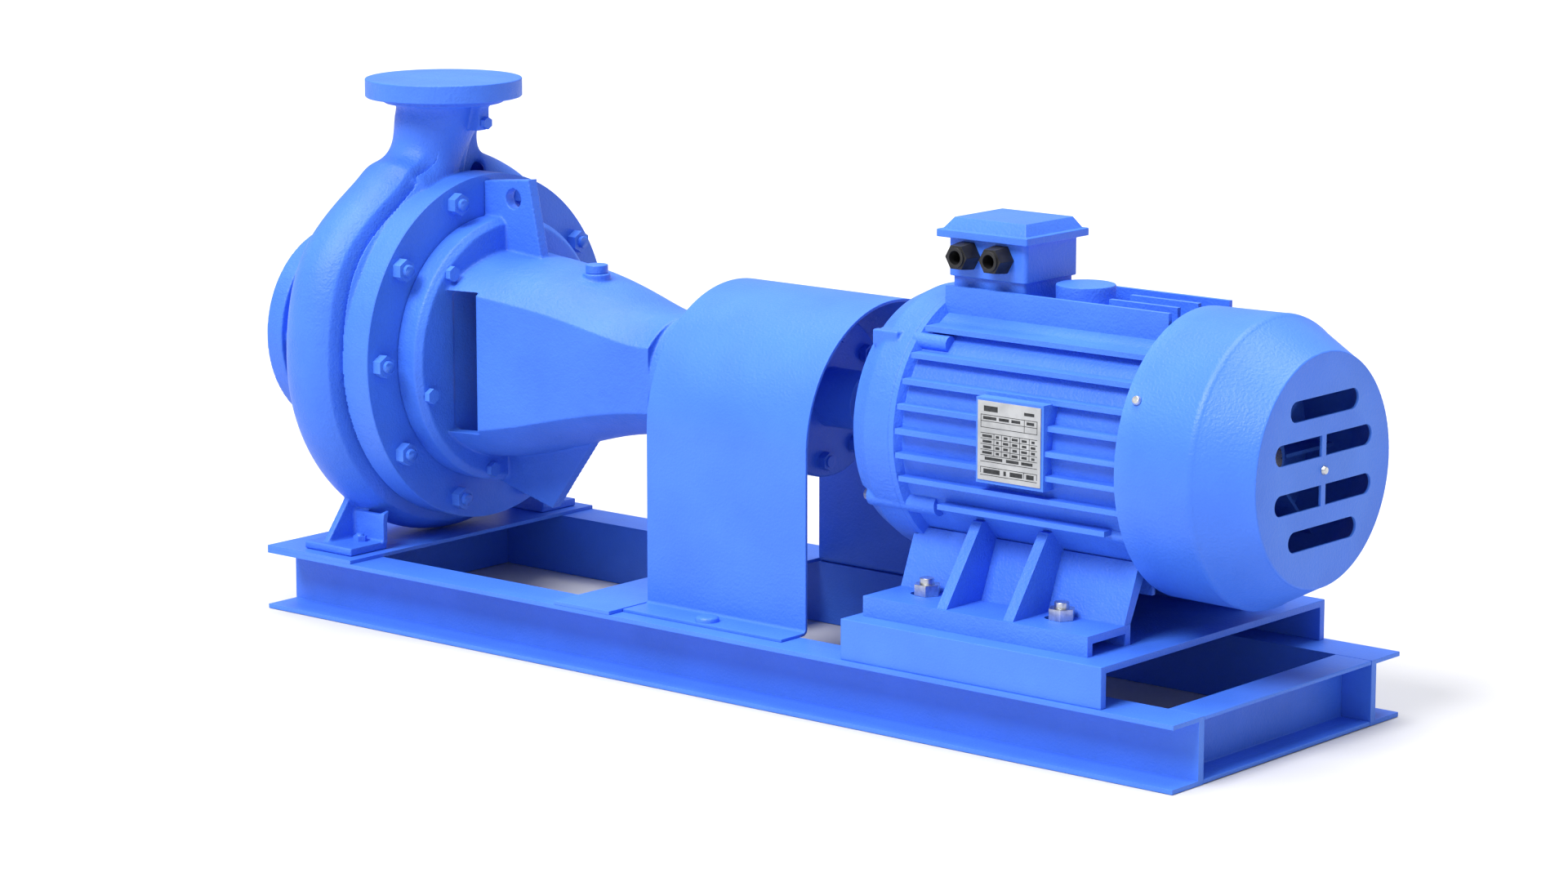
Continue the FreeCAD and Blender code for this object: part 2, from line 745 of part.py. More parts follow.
OIL_BOSS_TOP = 286.5
wall = D.lantern_wall
outer_lantern = lantern([
    (D.bracket_flange_rear - 6, 76, 83, 88, D.lantern_facet, D.lantern_facet),
    (-275, 71.5, 79, 81.5, 54.5, 53),
    (-228, 65, 73, 68.5, 48, 43),
    (-182, 58.5, 61, 56, 38.5, 32.5),
    (-150, 53.5, 52, 50.5, 31, 27),
    (D.housing_start + 8, 50, 50, 50, 28, 24),
], "lantern_outside")
inner_lantern = lantern([
    (D.bracket_flange_rear - 1, 76 - wall, 83 - wall, 88 - wall, D.lantern_facet - 4,
     D.lantern_facet - 4),
    (D.lantern_back, 60, 67, 66, 46, 44),
], "lantern_inside")
bracket_flange = turned([
    (D.cover_rear, 0), (D.cover_rear, D.bracket_flange_radius - 1),
    (D.cover_rear + 1, D.bracket_flange_radius),
    (D.bracket_flange_rear - 5, D.bracket_flange_radius),
    (D.bracket_flange_rear, D.bracket_flange_radius - 5), (D.bracket_flange_rear, 0),
], "bracket_flange")
bracket_bores = turned([
    (D.cover_rear - 1, 0), (D.cover_rear - 1, 66), (-323, 66), (-323, 38),
    (D.bracket_flange_rear, 38), (D.bracket_flange_rear, 26), (-234, 26), (-234, 36),
    (D.pump_bearing_front, 36),
    (D.pump_bearing_front, D.bearing_outer_radius),
    (D.housing_end + 1, D.bearing_outer_radius), (D.housing_end + 1, 0),
], "bracket_bores")
lifting_rib = padded("XZ_Plane", [
    (D.cover_rear, 300), (D.cover_rear, 350.5), (-289, 355), (-275, 290), (-270, 276)],
    -5, 5, "lifting_rib")
lower_rib = padded("XZ_Plane", [(-330, 127), (-330, 103.5), (-266, 86.5), (-221, 147),
                                (-230, 152)], -5, 5, "lower_rib")
oil_boss = cylinder("z", 270, OIL_BOSS_TOP, 11, D.oil_plug_x, D.oil_plug_y)
bracket_solid = fuse(
    bracket_flange, outer_lantern, lifting_rib, lower_rib, oil_boss,
    cylinder("x", D.housing_start, D.housing_end, D.housing_radius, 0, D.shaft_height))
windows = box(D.bracket_flange_rear, D.window_end, -100, 100,
              D.shaft_height - D.lantern_facet, D.shaft_height + D.lantern_facet)
node("bearing_bracket", cut(
    bracket_solid, inner_lantern, bracket_bores, windows,
    cylinder("y", -8, 8, 8.2, -306, 338),
    cylinder("z", 245, 290, 7, D.oil_plug_x, D.oil_plug_y),
    *ring_cylinders(6, 15, D.bracket_bolt_circle, D.cover_rear - 1,
                    D.bracket_flange_rear + 1, D.bracket_bolt_radius + 0.4),
    *ring_cylinders(4, 45, 45, D.housing_end - 14, D.housing_end + 1, 2.54)))
node("bracket_bolts", group(*[
    bolt("x", D.bracket_flange_rear, 1, D.bracket_bolt_radius, 33, 11, 5,
         *polar(D.bracket_bolt_circle, angle)) for angle in ring(6, 15)]))
node("oil_filler_plug", fuse(
    cylinder("z", OIL_BOSS_TOP, OIL_BOSS_TOP + 7, 9, D.oil_plug_x, D.oil_plug_y),
    cylinder("z", 268, OIL_BOSS_TOP + 1, 6.8, D.oil_plug_x, D.oil_plug_y)))
node("bearing_end_cover", cut(
    turned([(-85, 30), (-85, 39.95), (D.housing_end, 39.95), (D.housing_end, 50),
            (D.end_cover_rear - 2, 50), (D.end_cover_rear, 48), (D.end_cover_rear, 24),
            (-60, 24), (-60, 20), (-66, 20), (-66, 30)]),
    *ring_cylinders(4, 45, 45, D.housing_end - 1, D.end_cover_rear + 1, 2.8)))
node("end_cover_screws", group(*[
    bolt("x", D.end_cover_rear, 1, 2.5, 22, 8, 3.5, *polar(45, angle))
    for angle in ring(4, 45)]))
node("pump_shaft_seals", group(
    turned([(-245, 17.05), (-245, 25.95), (-236, 25.95), (-236, 22), (-243, 22),
            (-243, 17.05)]),
    turned([(-59, 16.05), (-59, 23.95), (-52, 23.95), (-52, 20), (-57, 20), (-57, 16.05)])))

# ---------------------------------------------------------------- bearings


GROOVE_HALF = 4.6


def groove(ball):
    """Radius of a rolling groove for a ball, and how deep its arc runs."""
    radius = ball + 0.2
    return radius, radius - math.sqrt(radius * radius - GROOVE_HALF * GROOVE_HALF)


def bearing_outer(start, width, bore, outer, ball):
    """Outer ring with its rolling groove."""
    end = start + width
    middle = start + width / 2
    radius, depth = groove(ball)
    land = (bore + outer) / 2 + (ball + 0.07 - depth)
    fit = outer - 0.02
    return turned([(start, land), (start, fit), (end, fit), (end, land),
                   (middle + GROOVE_HALF, land, radius), (middle - GROOVE_HALF, land)],
                  "outer_ring")


def bearing_inner(start, width, bore, outer, ball):
    """Inner ring with its rolling groove."""
    end = start + width
    middle = start + width / 2
    radius, depth = groove(ball)
    land = (bore + outer) / 2 - (ball + 0.07 - depth)
    fit = bore + 0.02
    return turned([(start, fit), (start, land), (middle - GROOVE_HALF, land, radius),
                   (middle + GROOVE_HALF, land), (end, land), (end, fit)], "inner_ring")


def ball_set(start, width, bore, outer, ball):
    """Eight balls and the cage that spaces them."""
    middle = start + width / 2
    circle = (bore + outer) / 2
    spots = [polar(circle, angle) for angle in ring(8)]
    balls = [sphere(ball, middle, y, z) for y, z in spots]
    reach = ball + 1.2
    cage = turned([(middle - reach, circle - 1.6), (middle - reach, circle + 1.6),
                   (middle + reach, circle + 1.6), (middle + reach, circle - 1.6)], "cage")
    pockets = [sphere(ball + 0.25, middle, y, z) for y, z in spots]
    return balls + [cut(cage, *pockets)]


def bearing_pair(unit, front, rear, width, bore, ball):
    """Both bearings of a shaft, as three nodes: outer rings, inner rings, ball sets."""
    sizes = (width, bore, D.bearing_outer_radius, ball)
    node(unit + "_bearing_outer_rings", group(bearing_outer(front, *sizes),
                                              bearing_outer(rear, *sizes)))
    node(unit + "_bearing_inner_rings", group(bearing_inner(front, *sizes),
                                              bearing_inner(rear, *sizes)))
    node(unit + "_bearing_balls", group(*ball_set(front, *sizes), *ball_set(rear, *sizes)))


bearing_pair("pump", D.pump_bearing_front, D.pump_bearing_rear, D.pump_bearing_width,
             D.pump_bearing_bore, 8.1)
bearing_pair("motor", D.motor_bearing_front, D.motor_bearing_rear, D.motor_bearing_width,
             D.motor_bearing_bore, 7.0)

# ---------------------------------------------------------------- shafts and keys

PUMP_HUB_START = -42
pump_shaft_solid = turned([
    (-423, 0), (-423, 8), (-412, 8), (-412, 10), (-378, 10), (-378, 12.5), (-300, 12.5),
    (-300, 17), (D.pump_bearing_front, 17), (D.pump_bearing_front, D.pump_bearing_bore),
    (D.pump_bearing_front + D.pump_bearing_width, D.pump_bearing_bore),
    (D.pump_bearing_front + D.pump_bearing_width, 21), (D.pump_bearing_rear, 21),
    (D.pump_bearing_rear, D.pump_bearing_bore), (-85, D.pump_bearing_bore), (-85, 16),
    (PUMP_HUB_START - 2, 16), (PUMP_HUB_START - 2, D.coupling_bore),
    (-3, D.coupling_bore), (-2, D.coupling_bore - 1), (-2, 0),
], "pump_shaft_body")
axis = D.shaft_height
node("pump_shaft", cut(pump_shaft_solid,
                       box(-405, -382, -3, 3, axis + 7, axis + 12),
                       box(-38, -6, -4, 4, axis + 10, axis + 15)))
node("pump_shaft_keys", group(
    box(-405, -382, -3, 3, axis + 7, axis + 12.6),
    box(-38, -6, -4, 4, axis + 10, axis + 16.8)))
motor_shaft_solid = turned([
    (4, 0), (4, D.coupling_bore - 1), (5, D.coupling_bore), (108, D.coupling_bore),
    (108, 18), (D.motor_bearing_front, 18), (D.motor_bearing_front, D.motor_bearing_bore),
    (D.motor_bearing_front + D.motor_bearing_width, D.motor_bearing_bore),
    (D.motor_bearing_front + D.motor_bearing_width, 24), (D.motor_bearing_rear, 24),
    (D.motor_bearing_rear, D.motor_bearing_bore),
    (D.motor_bearing_rear + D.motor_bearing_width, D.motor_bearing_bore),
    (D.motor_bearing_rear + D.motor_bearing_width, 15), (434, 15), (434, 0),
], "motor_shaft_body")
node("motor_shaft", cut(motor_shaft_solid, box(8, 58, -4, 4, axis + 10, axis + 15)))
node("motor_shaft_key", box(8, 58, -4, 4, axis + 10, axis + 16.8))

# ---------------------------------------------------------------- coupling and guard


def coupling_half(outline, slot_start, slot_end):
    return cut(turned(outline, "coupling_body"),
               box(slot_start, slot_end, -4.05, 4.05, axis + 12, axis + 17))


pump_half = coupling_half([
    (PUMP_HUB_START, D.coupling_bore + 0.03), (PUMP_HUB_START, D.coupling_hub_radius),
    (D.pump_half_start, D.coupling_hub_radius), (D.pump_half_start, D.coupling_radius - 1),
    (D.pump_half_start + 1, D.coupling_radius), (D.pump_half_end - 1, D.coupling_radius),
    (D.pump_half_end, D.coupling_radius - 1), (D.pump_half_end, D.coupling_bore + 0.03),
], PUMP_HUB_START - 1, 0)
node("coupling_half_pump", cut(pump_half, *ring_cylinders(
    8, 190, D.pin_circle, D.pump_half_start - 1, D.pump_half_end + 1, D.bush_radius + 0.4)))
motor_half = coupling_half([
    (D.motor_half_start, D.coupling_bore + 0.03),
    (D.motor_half_start, D.coupling_radius - 1),
    (D.motor_half_start + 1, D.coupling_radius), (D.motor_half_end - 1, D.coupling_radius),
    (D.motor_half_end, D.coupling_radius - 1), (D.motor_half_end, D.coupling_hub_radius),
    (63, D.coupling_hub_radius), (63, D.coupling_bore + 0.03),
], 2, 64)
node("coupling_half_motor", cut(motor_half, *ring_cylinders(
    8, 190, D.pin_circle, D.motor_half_start - 1, D.motor_half_end + 1, 4.55)))
pins = []
for angle in ring(8, 190):
    spot = polar(D.pin_circle, angle)
    pins.append(fuse(cylinder("x", D.pump_half_start + 1, D.motor_half_end + 8, 4.5, *spot),
                     cylinder("x", D.pump_half_start + 1, D.pump_half_start + 3, 8, *spot)))
    pins.append(nut("x", D.motor_half_end, D.motor_half_end + 6.5, 13, 4.55, *spot))
node("coupling_pins", group(*pins))
node("coupling_bushes", group(*[
    cut(cylinder("x", D.pump_half_start + 3, D.motor_half_start, D.bush_radius,
                 *polar(D.pin_circle, angle)),
        cylinder("x", D.pump_half_start + 2, D.motor_half_start + 1, 4.55,
                 *polar(D.pin_circle, angle)))
    for angle in ring(8, 190)]))

near, far = D.guard_centre - D.guard_half_width, D.guard_centre + D.guard_half_width
near_within, far_within = near + D.guard_sheet, far - D.guard_sheet
reach = D.guard_foot_reach
top_of_foot = D.rail_height + D.guard_sheet
arch = D.guard_arch_centre
bend = D.guard_half_width + 0.001
guard_solid = padded("YZ_Plane", [
    (-reach, D.rail_height), (near_within, D.rail_height),
    (near_within, arch, D.guard_sheet - bend), (far_within, arch),
    (far_within, D.rail_height), (reach, D.rail_height), (reach, top_of_foot),
    (far, top_of_foot), (far, arch, bend), (near, arch), (near, top_of_foot),
    (-reach, top_of_foot),
], D.guard_start, D.guard_end, "guard_profile")
node("coupling_guard", cut(guard_solid, *[
    cylinder("z", D.rail_height - 1, top_of_foot + 1, 3.4, D.guard_screw_x,
             D.guard_screw_y * side) for side in (-1, 1)]))
node("guard_screws", group(*[
    round_screw("z", top_of_foot, 1, 3.0, 11, 8.6, 4.0, D.guard_screw_x,
                D.guard_screw_y * side) for side in (-1, 1)]))

# ---------------------------------------------------------------- motor


def fin(start, end, drop, reach_radius):
    """A level cooling fin right across the frame at a height from the shaft."""
    half = Size(math.sqrt(reach_radius.value ** 2 - drop.value ** 2),
                "sqrt(%s * %s - %s * %s)" % (reach_radius.text, reach_radius.text,
                                             drop.text, drop.text))
    middle = D.shaft_height + drop
    return box(start, end, -half, half, middle - D.fin_thickness / 2,
               middle + D.fin_thickness / 2)


# How far a foot slot's end centres stand before and beyond the bolt.
FOOT_SLOT = (7.5, 1.5)


def motor_foot():
    """The foot on the near side: hollow pad, sloping web, two ribs, bolt bosses."""
    low = D.pedestal_top
    top = D.foot_top
    pad = padded("YZ_Plane", [
        (-D.foot_outer, low), (-(D.foot_outer - 6), low), (-(D.foot_outer - 6), top - 6),
        (-(D.foot_inner + 6), top - 6), (-(D.foot_inner + 6), low), (-D.foot_inner, low),
        (-D.foot_inner, top), (-D.foot_outer, top),
    ], D.foot_start, D.foot_end, "foot_pad")
    web = padded("YZ_Plane", [(-81, 94), (-62.5, 139.5), (-55, 139.5), (-55, 132),
                              (-73.5, 94)], D.foot_start, D.foot_end - 0.5, "foot_web")
    pieces = [pad, web]
    for start in (226, 287):
        pieces.append(padded("YZ_Plane", [(-123, 95), (-80, 155), (-70, 155), (-60, 139),
                                          (-78, 95)], start, start + 9, "foot_rib"))
    for x in (D.foot_bolt_front, D.foot_bolt_rear):
        pieces.append(box(x - 18, x + 12, -(D.foot_bolt_y + 11), -(D.foot_bolt_y - 11),
                          low, top))
    return fuse(*pieces)


BOX_SEAT = 309.0
barrel = turned([
    (D.frame_start, 60), (D.frame_start, D.frame_ring_radius),
    (D.frame_start + 4.7, D.frame_ring_radius), (D.frame_start + 8, D.frame_radius),
    (D.frame_end, D.frame_radius), (D.frame_end, 60),
], "barrel")
fins = [fin(171, D.frame_end, D.top_fin - D.fin_pitch * step, D.fin_tip_radius)
        for step in range(7)]
fins.append(fin(203, 355, D.top_fin - D.fin_pitch * 7, D.fin_tip_radius + 1.5))
upright = D.fin_thickness / 2
plates = []
for y, start, end in ((38, 168, D.frame_end), (-38, 168, D.frame_end), (13, 300, 361),
                      (-13, 300, 361)):
    plates.append(box(start, end, y - upright, y + upright, D.shaft_height + 60,
                      D.top_plate_height))
for y in (-38, -13, 13, 38):
    plates.append(box(171, 360, y - upright, y + upright, 111, D.shaft_height - 60))
LOWER_SCREWS = (79.0, 162.0)
UPPER_SCREWS = (68.0, 281.5)
frame_bosses = [box(168, 240, -36, 36, D.shaft_height + 70, BOX_SEAT),
                cylinder("z", D.shaft_height + 80, 320, 20.5, 268, 0),
                box(248, 309, -(D.plate_face - 1), -85, 191, 254)]
for (y, z), boss in ((LOWER_SCREWS, 8), (UPPER_SCREWS, 6)):
    for side in (-1, 1):
        frame_bosses.append(cylinder("x", D.frame_start, 195, boss, y * side, z))
for side in (-1, 1):
    frame_bosses.append(cylinder("x", 350, D.frame_end, 5.5, 79 * side, 162))
near_foot = motor_foot()
frame_solid = fuse(barrel, *fins, *plates, *frame_bosses, *both_sides(near_foot))
frame_holes = [cylinder("x", D.frame_start - 1, D.frame_end + 3, D.frame_bore, 0,
                        D.shaft_height),
               cylinder("x", D.foot_start - 1, D.frame_start, D.frame_ring_radius + 0.4, 0,
                        D.shaft_height),
               box(D.box_start + 1, D.box_end - 1, -(D.box_half_width - 2),
                   D.box_half_width - 2, BOX_SEAT, D.box_floor),
               cylinder("z", D.shaft_height + 70, BOX_SEAT + 1, 16, 199, 0)]
for x, y in FOOT_BOLTS:
    ends = [x - FOOT_SLOT[0], x + FOOT_SLOT[1]]
    frame_holes += [cylinder("z", 80, D.foot_top + 1, D.foot_slot_half_width, end, y)
                    for end in ends]
    frame_holes.append(box(*ends, y - D.foot_slot_half_width, y + D.foot_slot_half_width,
                           80, D.foot_top + 1))
for (y, z), hole in ((LOWER_SCREWS, 3), (UPPER_SCREWS, 2.5)):
    for side in (-1, 1):
        frame_holes.append(cylinder("x", D.frame_start - 1, 190, hole, y * side, z))
node("motor_frame", cut(frame_solid, *frame_holes))

node("stator_core", turned([(D.core_start, D.stator_bore), (D.core_start, 84.95),
                            (D.core_end, 84.95), (D.core_end, D.stator_bore)]))
node("stator_windings", group(*[
    turned([(start + 4, 55), (start, 60), (start, 74), (start + 4, 79), (end - 4, 79),
            (end, 74), (end, 60), (end - 4, 55)])
    for start, end in ((178, D.core_start), (D.core_end, 352))]))
rotor_shell = turned([(D.core_start - 8, 24.02), (D.core_start - 8, 46),
                      (D.core_start, 51.3), (D.core_end, 51.3), (D.core_end + 8, 46),
                      (D.core_end + 8, 24.02)])
node("rotor_core", rotor_shell)

drive_shield = turned([
    (D.frame_start, 90), (D.frame_start, D.frame_ring_radius), (140, 101), (123.2, 93.1),
    (118, 86), (116, 70), (116, 45), (106, 45), (106, 25), (109, 25), (109, 18.4),
    (D.motor_bearing_front - 2, 18.4), (D.motor_bearing_front - 2, 36),
    (D.motor_bearing_front, 36), (D.motor_bearing_front, D.bearing_outer_radius),
    (134, D.bearing_outer_radius), (134, 49), (123, 52), (124, 80), (130, 87), (143, 94),
], "drive_shield")
lugs = [box(127.5, 151, min(side * 60, side * 76), max(side * 60, side * 76), 275, 287)
        for side in (-1, 1)]
lugs += [cylinder("x", 130, D.frame_start, 8, LOWER_SCREWS[0] * side, LOWER_SCREWS[1])
         for side in (-1, 1)]
shield_hollow = turned([(123, 52), (124, 80), (130, 87), (143, 94), (D.frame_start + 1, 90),
                        (D.frame_start + 1, 52)], "shield_hollow")
# A shield screw: spot, seat of the head, head radius, shank radius.
SHIELD_SCREWS = ((LOWER_SCREWS, 130, 6, 2.95), (UPPER_SCREWS, 134, 4.2, 2.45))
screw_holes = []
shield_screws = []
for (y, z), seat, head, shank in SHIELD_SCREWS:
    for side in (-1, 1):
        screw_holes.append(cylinder("x", seat - 20, seat, head + 0.5, y * side, z))
        screw_holes.append(cylinder("x", seat - 1, D.frame_start + 1, shank + 0.35,
                                    y * side, z))
        shield_screws.append(round_screw("x", seat, -1, shank, 188 - seat, head, 5,
                                         y * side, z))
node("endshield_drive", cut(fuse(drive_shield, *lugs), shield_hollow, *screw_holes))
node("endshield_screws", group(*shield_screws))
fan_shield = turned([
    (D.frame_end, 84.9), (D.frame_end, 95), (379, 95), (384, 89), (386, 60), (390, 48),
    (397, 46), (397, 20.4), (D.motor_bearing_rear + D.motor_bearing_width, 20.4),
    (D.motor_bearing_rear + D.motor_bearing_width, D.bearing_outer_radius),
    (372, D.bearing_outer_radius), (372, 50), (378, 60), (377, 84.9),
], "fan_shield")
COVER_SCREWS = (-61, 61, 180)
shield_lugs = [radial_box(378, 388, 14, 90, 104.6, angle) for angle in COVER_SCREWS]


def radial_taper(inner, outer, radius_inner, radius_outer, angle):
    """A round peg or hole standing out from the shaft at the fan cover's screws."""
    peg = add("Part::Cone" if radius_inner != radius_outer else "Part::Cylinder", "peg")
    if radius_inner != radius_outer:
        bind(peg, "Radius1", radius_inner)
        bind(peg, "Radius2", radius_outer)
    else:
        bind(peg, "Radius", radius_inner)
    bind(peg, "Height", size(outer) - inner)
    return place(peg, 383, *polar(inner, angle), Rotation(Vector(1, 0, 0), -angle))


def cover_screw(angle):
    return fuse(radial_taper(107.5, 110.3, 3.8, 2.8, angle),
                radial_taper(94.5, 108.5, 2, 2, angle))


node("endshield_fan", cut(fuse(fan_shield, *shield_lugs),
                          *[radial_taper(94, 106, 2.1, 2.1, angle) for angle in COVER_SCREWS]))
blades = [radial_box(406, 430, 2.6, 26, 88, angle) for angle in ring(8)]
node("fan", fuse(
    turned([(400, 15.02), (400, 24), (404, 28), (404, 86), (407, 86), (407, 27), (430, 24),
            (430, 15.02)], "fan_hub"), *blades))

gauge = D.fan_cover_sheet
cover_shell = turned([
    (D.fan_cover_start, D.fan_cover_radius - gauge), (D.fan_cover_start, D.fan_cover_radius),
    (D.fan_cover_shoulder - 3, D.fan_cover_radius + 1, -9),
    (D.fan_cover_shoulder + 5, D.fan_cover_radius - 1.5),
    (D.fan_cover_end - 2, D.fan_cover_face_radius + 1.5, -2),
    (D.fan_cover_end, D.fan_cover_face_radius), (D.fan_cover_end, 0),
    (D.fan_cover_end - gauge, 0), (D.fan_cover_end - gauge, D.fan_cover_face_radius - 1),
    (D.fan_cover_shoulder + 4, D.fan_cover_radius - 1.2 - gauge),
    (D.fan_cover_shoulder - 4, D.fan_cover_radius + 1 - gauge),
], "fan_cover_shell")
SLOT_HALF_HEIGHT = 7.7


def slot(y0, y1, drop, round_ends):
    """A level slot through the fan cover's face, round at the ends named by y."""
    z = D.shaft_height + drop
    half = SLOT_HALF_HEIGHT
    start, end = D.fan_cover_end - 9, D.fan_cover_end + 1
    inner = [y + half if y == y0 else y - half for y in round_ends]
    flat = [y for y in (y0, y1) if y not in round_ends] + inner
    return fuse(box(start, end, min(flat), max(flat), z - half, z + half),
                *[cylinder("x", start, end, half, y, z) for y in inner])


slots = [slot(-43.5, 43.5, drop, (-43.5, 43.5)) for drop in (-47, 47)]
for drop in (-18, 18):
    slots.append(slot(-61.5, -2.8, drop, (-61.5,)))
    slots.append(slot(2.8, 61.5, drop, (61.5,)))
node("fan_cover", cut(cover_shell, *slots,
                      cylinder("x", D.fan_cover_end - 5, D.fan_cover_end + 1, 2.1, 0,
                               D.shaft_height),
                      *[radial_taper(103, 109, 2.3, 2.3, angle) for angle in COVER_SCREWS]))
node("fan_cover_screws", group(
    *[cover_screw(angle) for angle in COVER_SCREWS],
    round_screw("x", D.fan_cover_end, 1, 2.0, 8, 3.6, 2.5, 0, D.shaft_height)))

# ---------------------------------------------------------------- terminal box and fittings

x0, x1, half = D.box_start, D.box_end, D.box_half_width
box_outside = fuse(
    rounded_box(x0, x1, -half, half, D.box_floor, D.box_rim, D.box_corner),
    rounded_box(x0 + 2.6, x1 - 2.6, 2.6 - half, half - 2.6, BOX_SEAT, D.box_floor + 1, 3))
box_inside = rounded_box(x0 + D.box_wall, x1 - D.box_wall, -(half - D.box_wall),
                         half - D.box_wall, D.box_floor + D.box_wall, D.box_rim + 1, 2)
GLANDS = (183.3, 214.5)
node("terminal_box", cut(
    box_outside, box_inside,
    cylinder("z", BOX_SEAT - 1, D.box_floor + D.box_wall + 1, 14, 199, 0),
    *[cylinder("y", -half - 1, -half + D.box_wall + 1, 7.6, x, D.gland_height)
      for x in GLANDS]))
lid_top = add("Part::Wedge", "lid_slope")
for prop, length in (("Xmin", 161), ("Ymin", 0), ("Zmin", -35.3), ("X2min", 167.7),
                     ("Z2min", -29.1), ("Xmax", 238.8), ("Ymax", 8.9), ("Zmax", 35.3),
                     ("X2max", 233.9), ("Z2max", 29.1)):
    bind(lid_top, prop, length)
place(lid_top, 0, 0, D.lid_flange_top, Rotation(Vector(1, 0, 0), 90))
lid_solid = fuse(rounded_box(157.6, 242.2, -38.7, 38.7, D.box_rim, D.lid_flange_top, 1.5),
                 lid_top)
node("terminal_lid", cut(lid_solid, rounded_box(170, 231, -27, 27, D.box_rim - 1, 365, 4)))
studs = [cylinder("z", 341, 350, 2.4, x, y) for x in (184, 199, 214) for y in (-8, 8)]
node("terminal_block", fuse(box(175, 223, -15, 15, D.box_floor + D.box_wall, 341), *studs))


def hexagon_section(y, across, x, z):
    obj = add("Part::RegularPolygon", "section")
    obj.Polygon = 6
    bind(obj, "Circumradius", size(across) / math.sqrt(3))
    return along(obj, "y", y, x, z)


def gland(x):
    """A cable gland: thread, tapered hexagon nut and sealing ring round an open bore."""
    z = D.gland_height
    face = -half
    nut_body = add("Part::Loft", "gland_nut")
    nut_body.Sections = [hexagon_section(face, 20.0, x, z),
                         hexagon_section(face - 4, 19.8, x, z),
                         hexagon_section(face - 15, 17.4, x, z)]
    nut_body.Solid = True
    nut_body.Ruled = True
    body = fuse(cylinder("y", face - 1, face + 9, 7.5, x, z), nut_body,
                cylinder("y", face - 16.5, face - 14, 7.6, x, z))
    return cut(body, cylinder("y", face - 25, face + 10, 5.2, x, z))


node("cable_glands", group(*[gland(x) for x in GLANDS]))
node("nameplate", box(250, 307, -D.plate_face, -(D.plate_face - 1), 193.5, 252))
node("frame_top_cap", fuse(cylinder("z", 320, 324.5, 22.4, 268, 0),
                           cone("z", 324.5, 326, 22.4, 21, 268, 0)))

motor_bolts = []
for x, y in FOOT_BOLTS:
    radius = D.foot_bolt_radius
    under = sheet_under - 2
    motor_bolts.append(fuse(cylinder("z", under - 1, D.foot_top + 13, radius, x, y),
                            hexagon("z", under - 8, under, 18, x, y)))
    motor_bolts.append(nut("z", D.foot_top, D.foot_top + 8.5, 18, radius + 0.05, x, y))
    motor_bolts.append(cut(cylinder("z", under, sheet_under, 10, x, y),
                           cylinder("z", under - 1, sheet_under + 1, radius + 0.05, x, y)))
node("motor_foot_bolts", group(*motor_bolts))
node("pump_foot_bolts", group(*[
    fuse(cylinder("z", D.rail_height + 0.3, FOOT_PAD_TOP + 6.5, 3, x, y * side),
         hexagon("z", FOOT_PAD_TOP, FOOT_PAD_TOP + 4.6, 10, x, y * side))
    for x, y in (PUMP_FOOT_BOLT,) for side in (-1, 1)]))

# ---------------------------------------------------------------- check and export

doc.recompute()
for obj in doc.Objects:
    if "Invalid" in obj.State or "Error" in obj.State:
        raise RuntimeError("not computed: %s (%s)" % (obj.Label, obj.State))
os.makedirs("parts", exist_ok=True)
for obj in NODES:
    if obj.Shape.isNull() or not obj.Shape.isValid():
        raise RuntimeError("bad shape: " + obj.Label)
    obj.Shape.exportStep("parts/%s.step" % obj.Label)
print("pieces:", len(NODES))
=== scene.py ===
import json
import math

import bmesh
import bpy
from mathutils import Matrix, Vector


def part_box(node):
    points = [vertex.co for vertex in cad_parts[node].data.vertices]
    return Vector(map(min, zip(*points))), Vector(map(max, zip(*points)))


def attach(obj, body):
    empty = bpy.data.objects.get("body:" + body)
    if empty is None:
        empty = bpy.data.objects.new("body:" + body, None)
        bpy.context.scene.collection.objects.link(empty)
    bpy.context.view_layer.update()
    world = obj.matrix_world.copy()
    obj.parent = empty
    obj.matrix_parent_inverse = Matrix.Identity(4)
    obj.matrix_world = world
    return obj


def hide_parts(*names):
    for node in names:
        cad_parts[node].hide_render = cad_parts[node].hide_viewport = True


# Looks of a centrifugal pump set: bright blue enamel over castings and steel,
# black cable glands, zinc fasteners on the motor feet and a silver nameplate.

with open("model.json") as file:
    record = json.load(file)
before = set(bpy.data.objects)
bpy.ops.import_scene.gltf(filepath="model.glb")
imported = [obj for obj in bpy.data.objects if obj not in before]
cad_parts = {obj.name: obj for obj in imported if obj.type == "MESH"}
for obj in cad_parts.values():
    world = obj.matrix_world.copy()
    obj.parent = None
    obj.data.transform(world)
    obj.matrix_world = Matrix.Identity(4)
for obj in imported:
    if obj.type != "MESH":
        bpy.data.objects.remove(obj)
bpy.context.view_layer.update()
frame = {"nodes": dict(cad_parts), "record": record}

NODES = frame["nodes"]
RECORD = frame["record"]
SLOT_OF = {item["node"]: item["material_slot"] for item in RECORD["subparts"]}
BODY_OF = {node: body for body, members in RECORD["behaviour"]["bodies"].items()
           for node in members}
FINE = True
MM = 0.001


# ---------------------------------------------------------------- materials

SPECULAR = 0.35
COAT_ROUGHNESS = 0.18
DRIFT_STOPS = (0.35, 0.65)
DRIFT_DETAIL = 4
ROUGHNESS_SCALE = 3.1       # the roughness drifts over patches this much finer than the colour
ROUGHNESS_DETAIL = 3
EDGE_STOPS = (0.53, 0.62)   # pointiness of a sharp edge, where the painted highlight begins and is full
# how far sharp edges go towards the colour of the painted highlight
EDGE_HIGHLIGHT = 0.22
NOISE_ROUGHNESS = 0.55


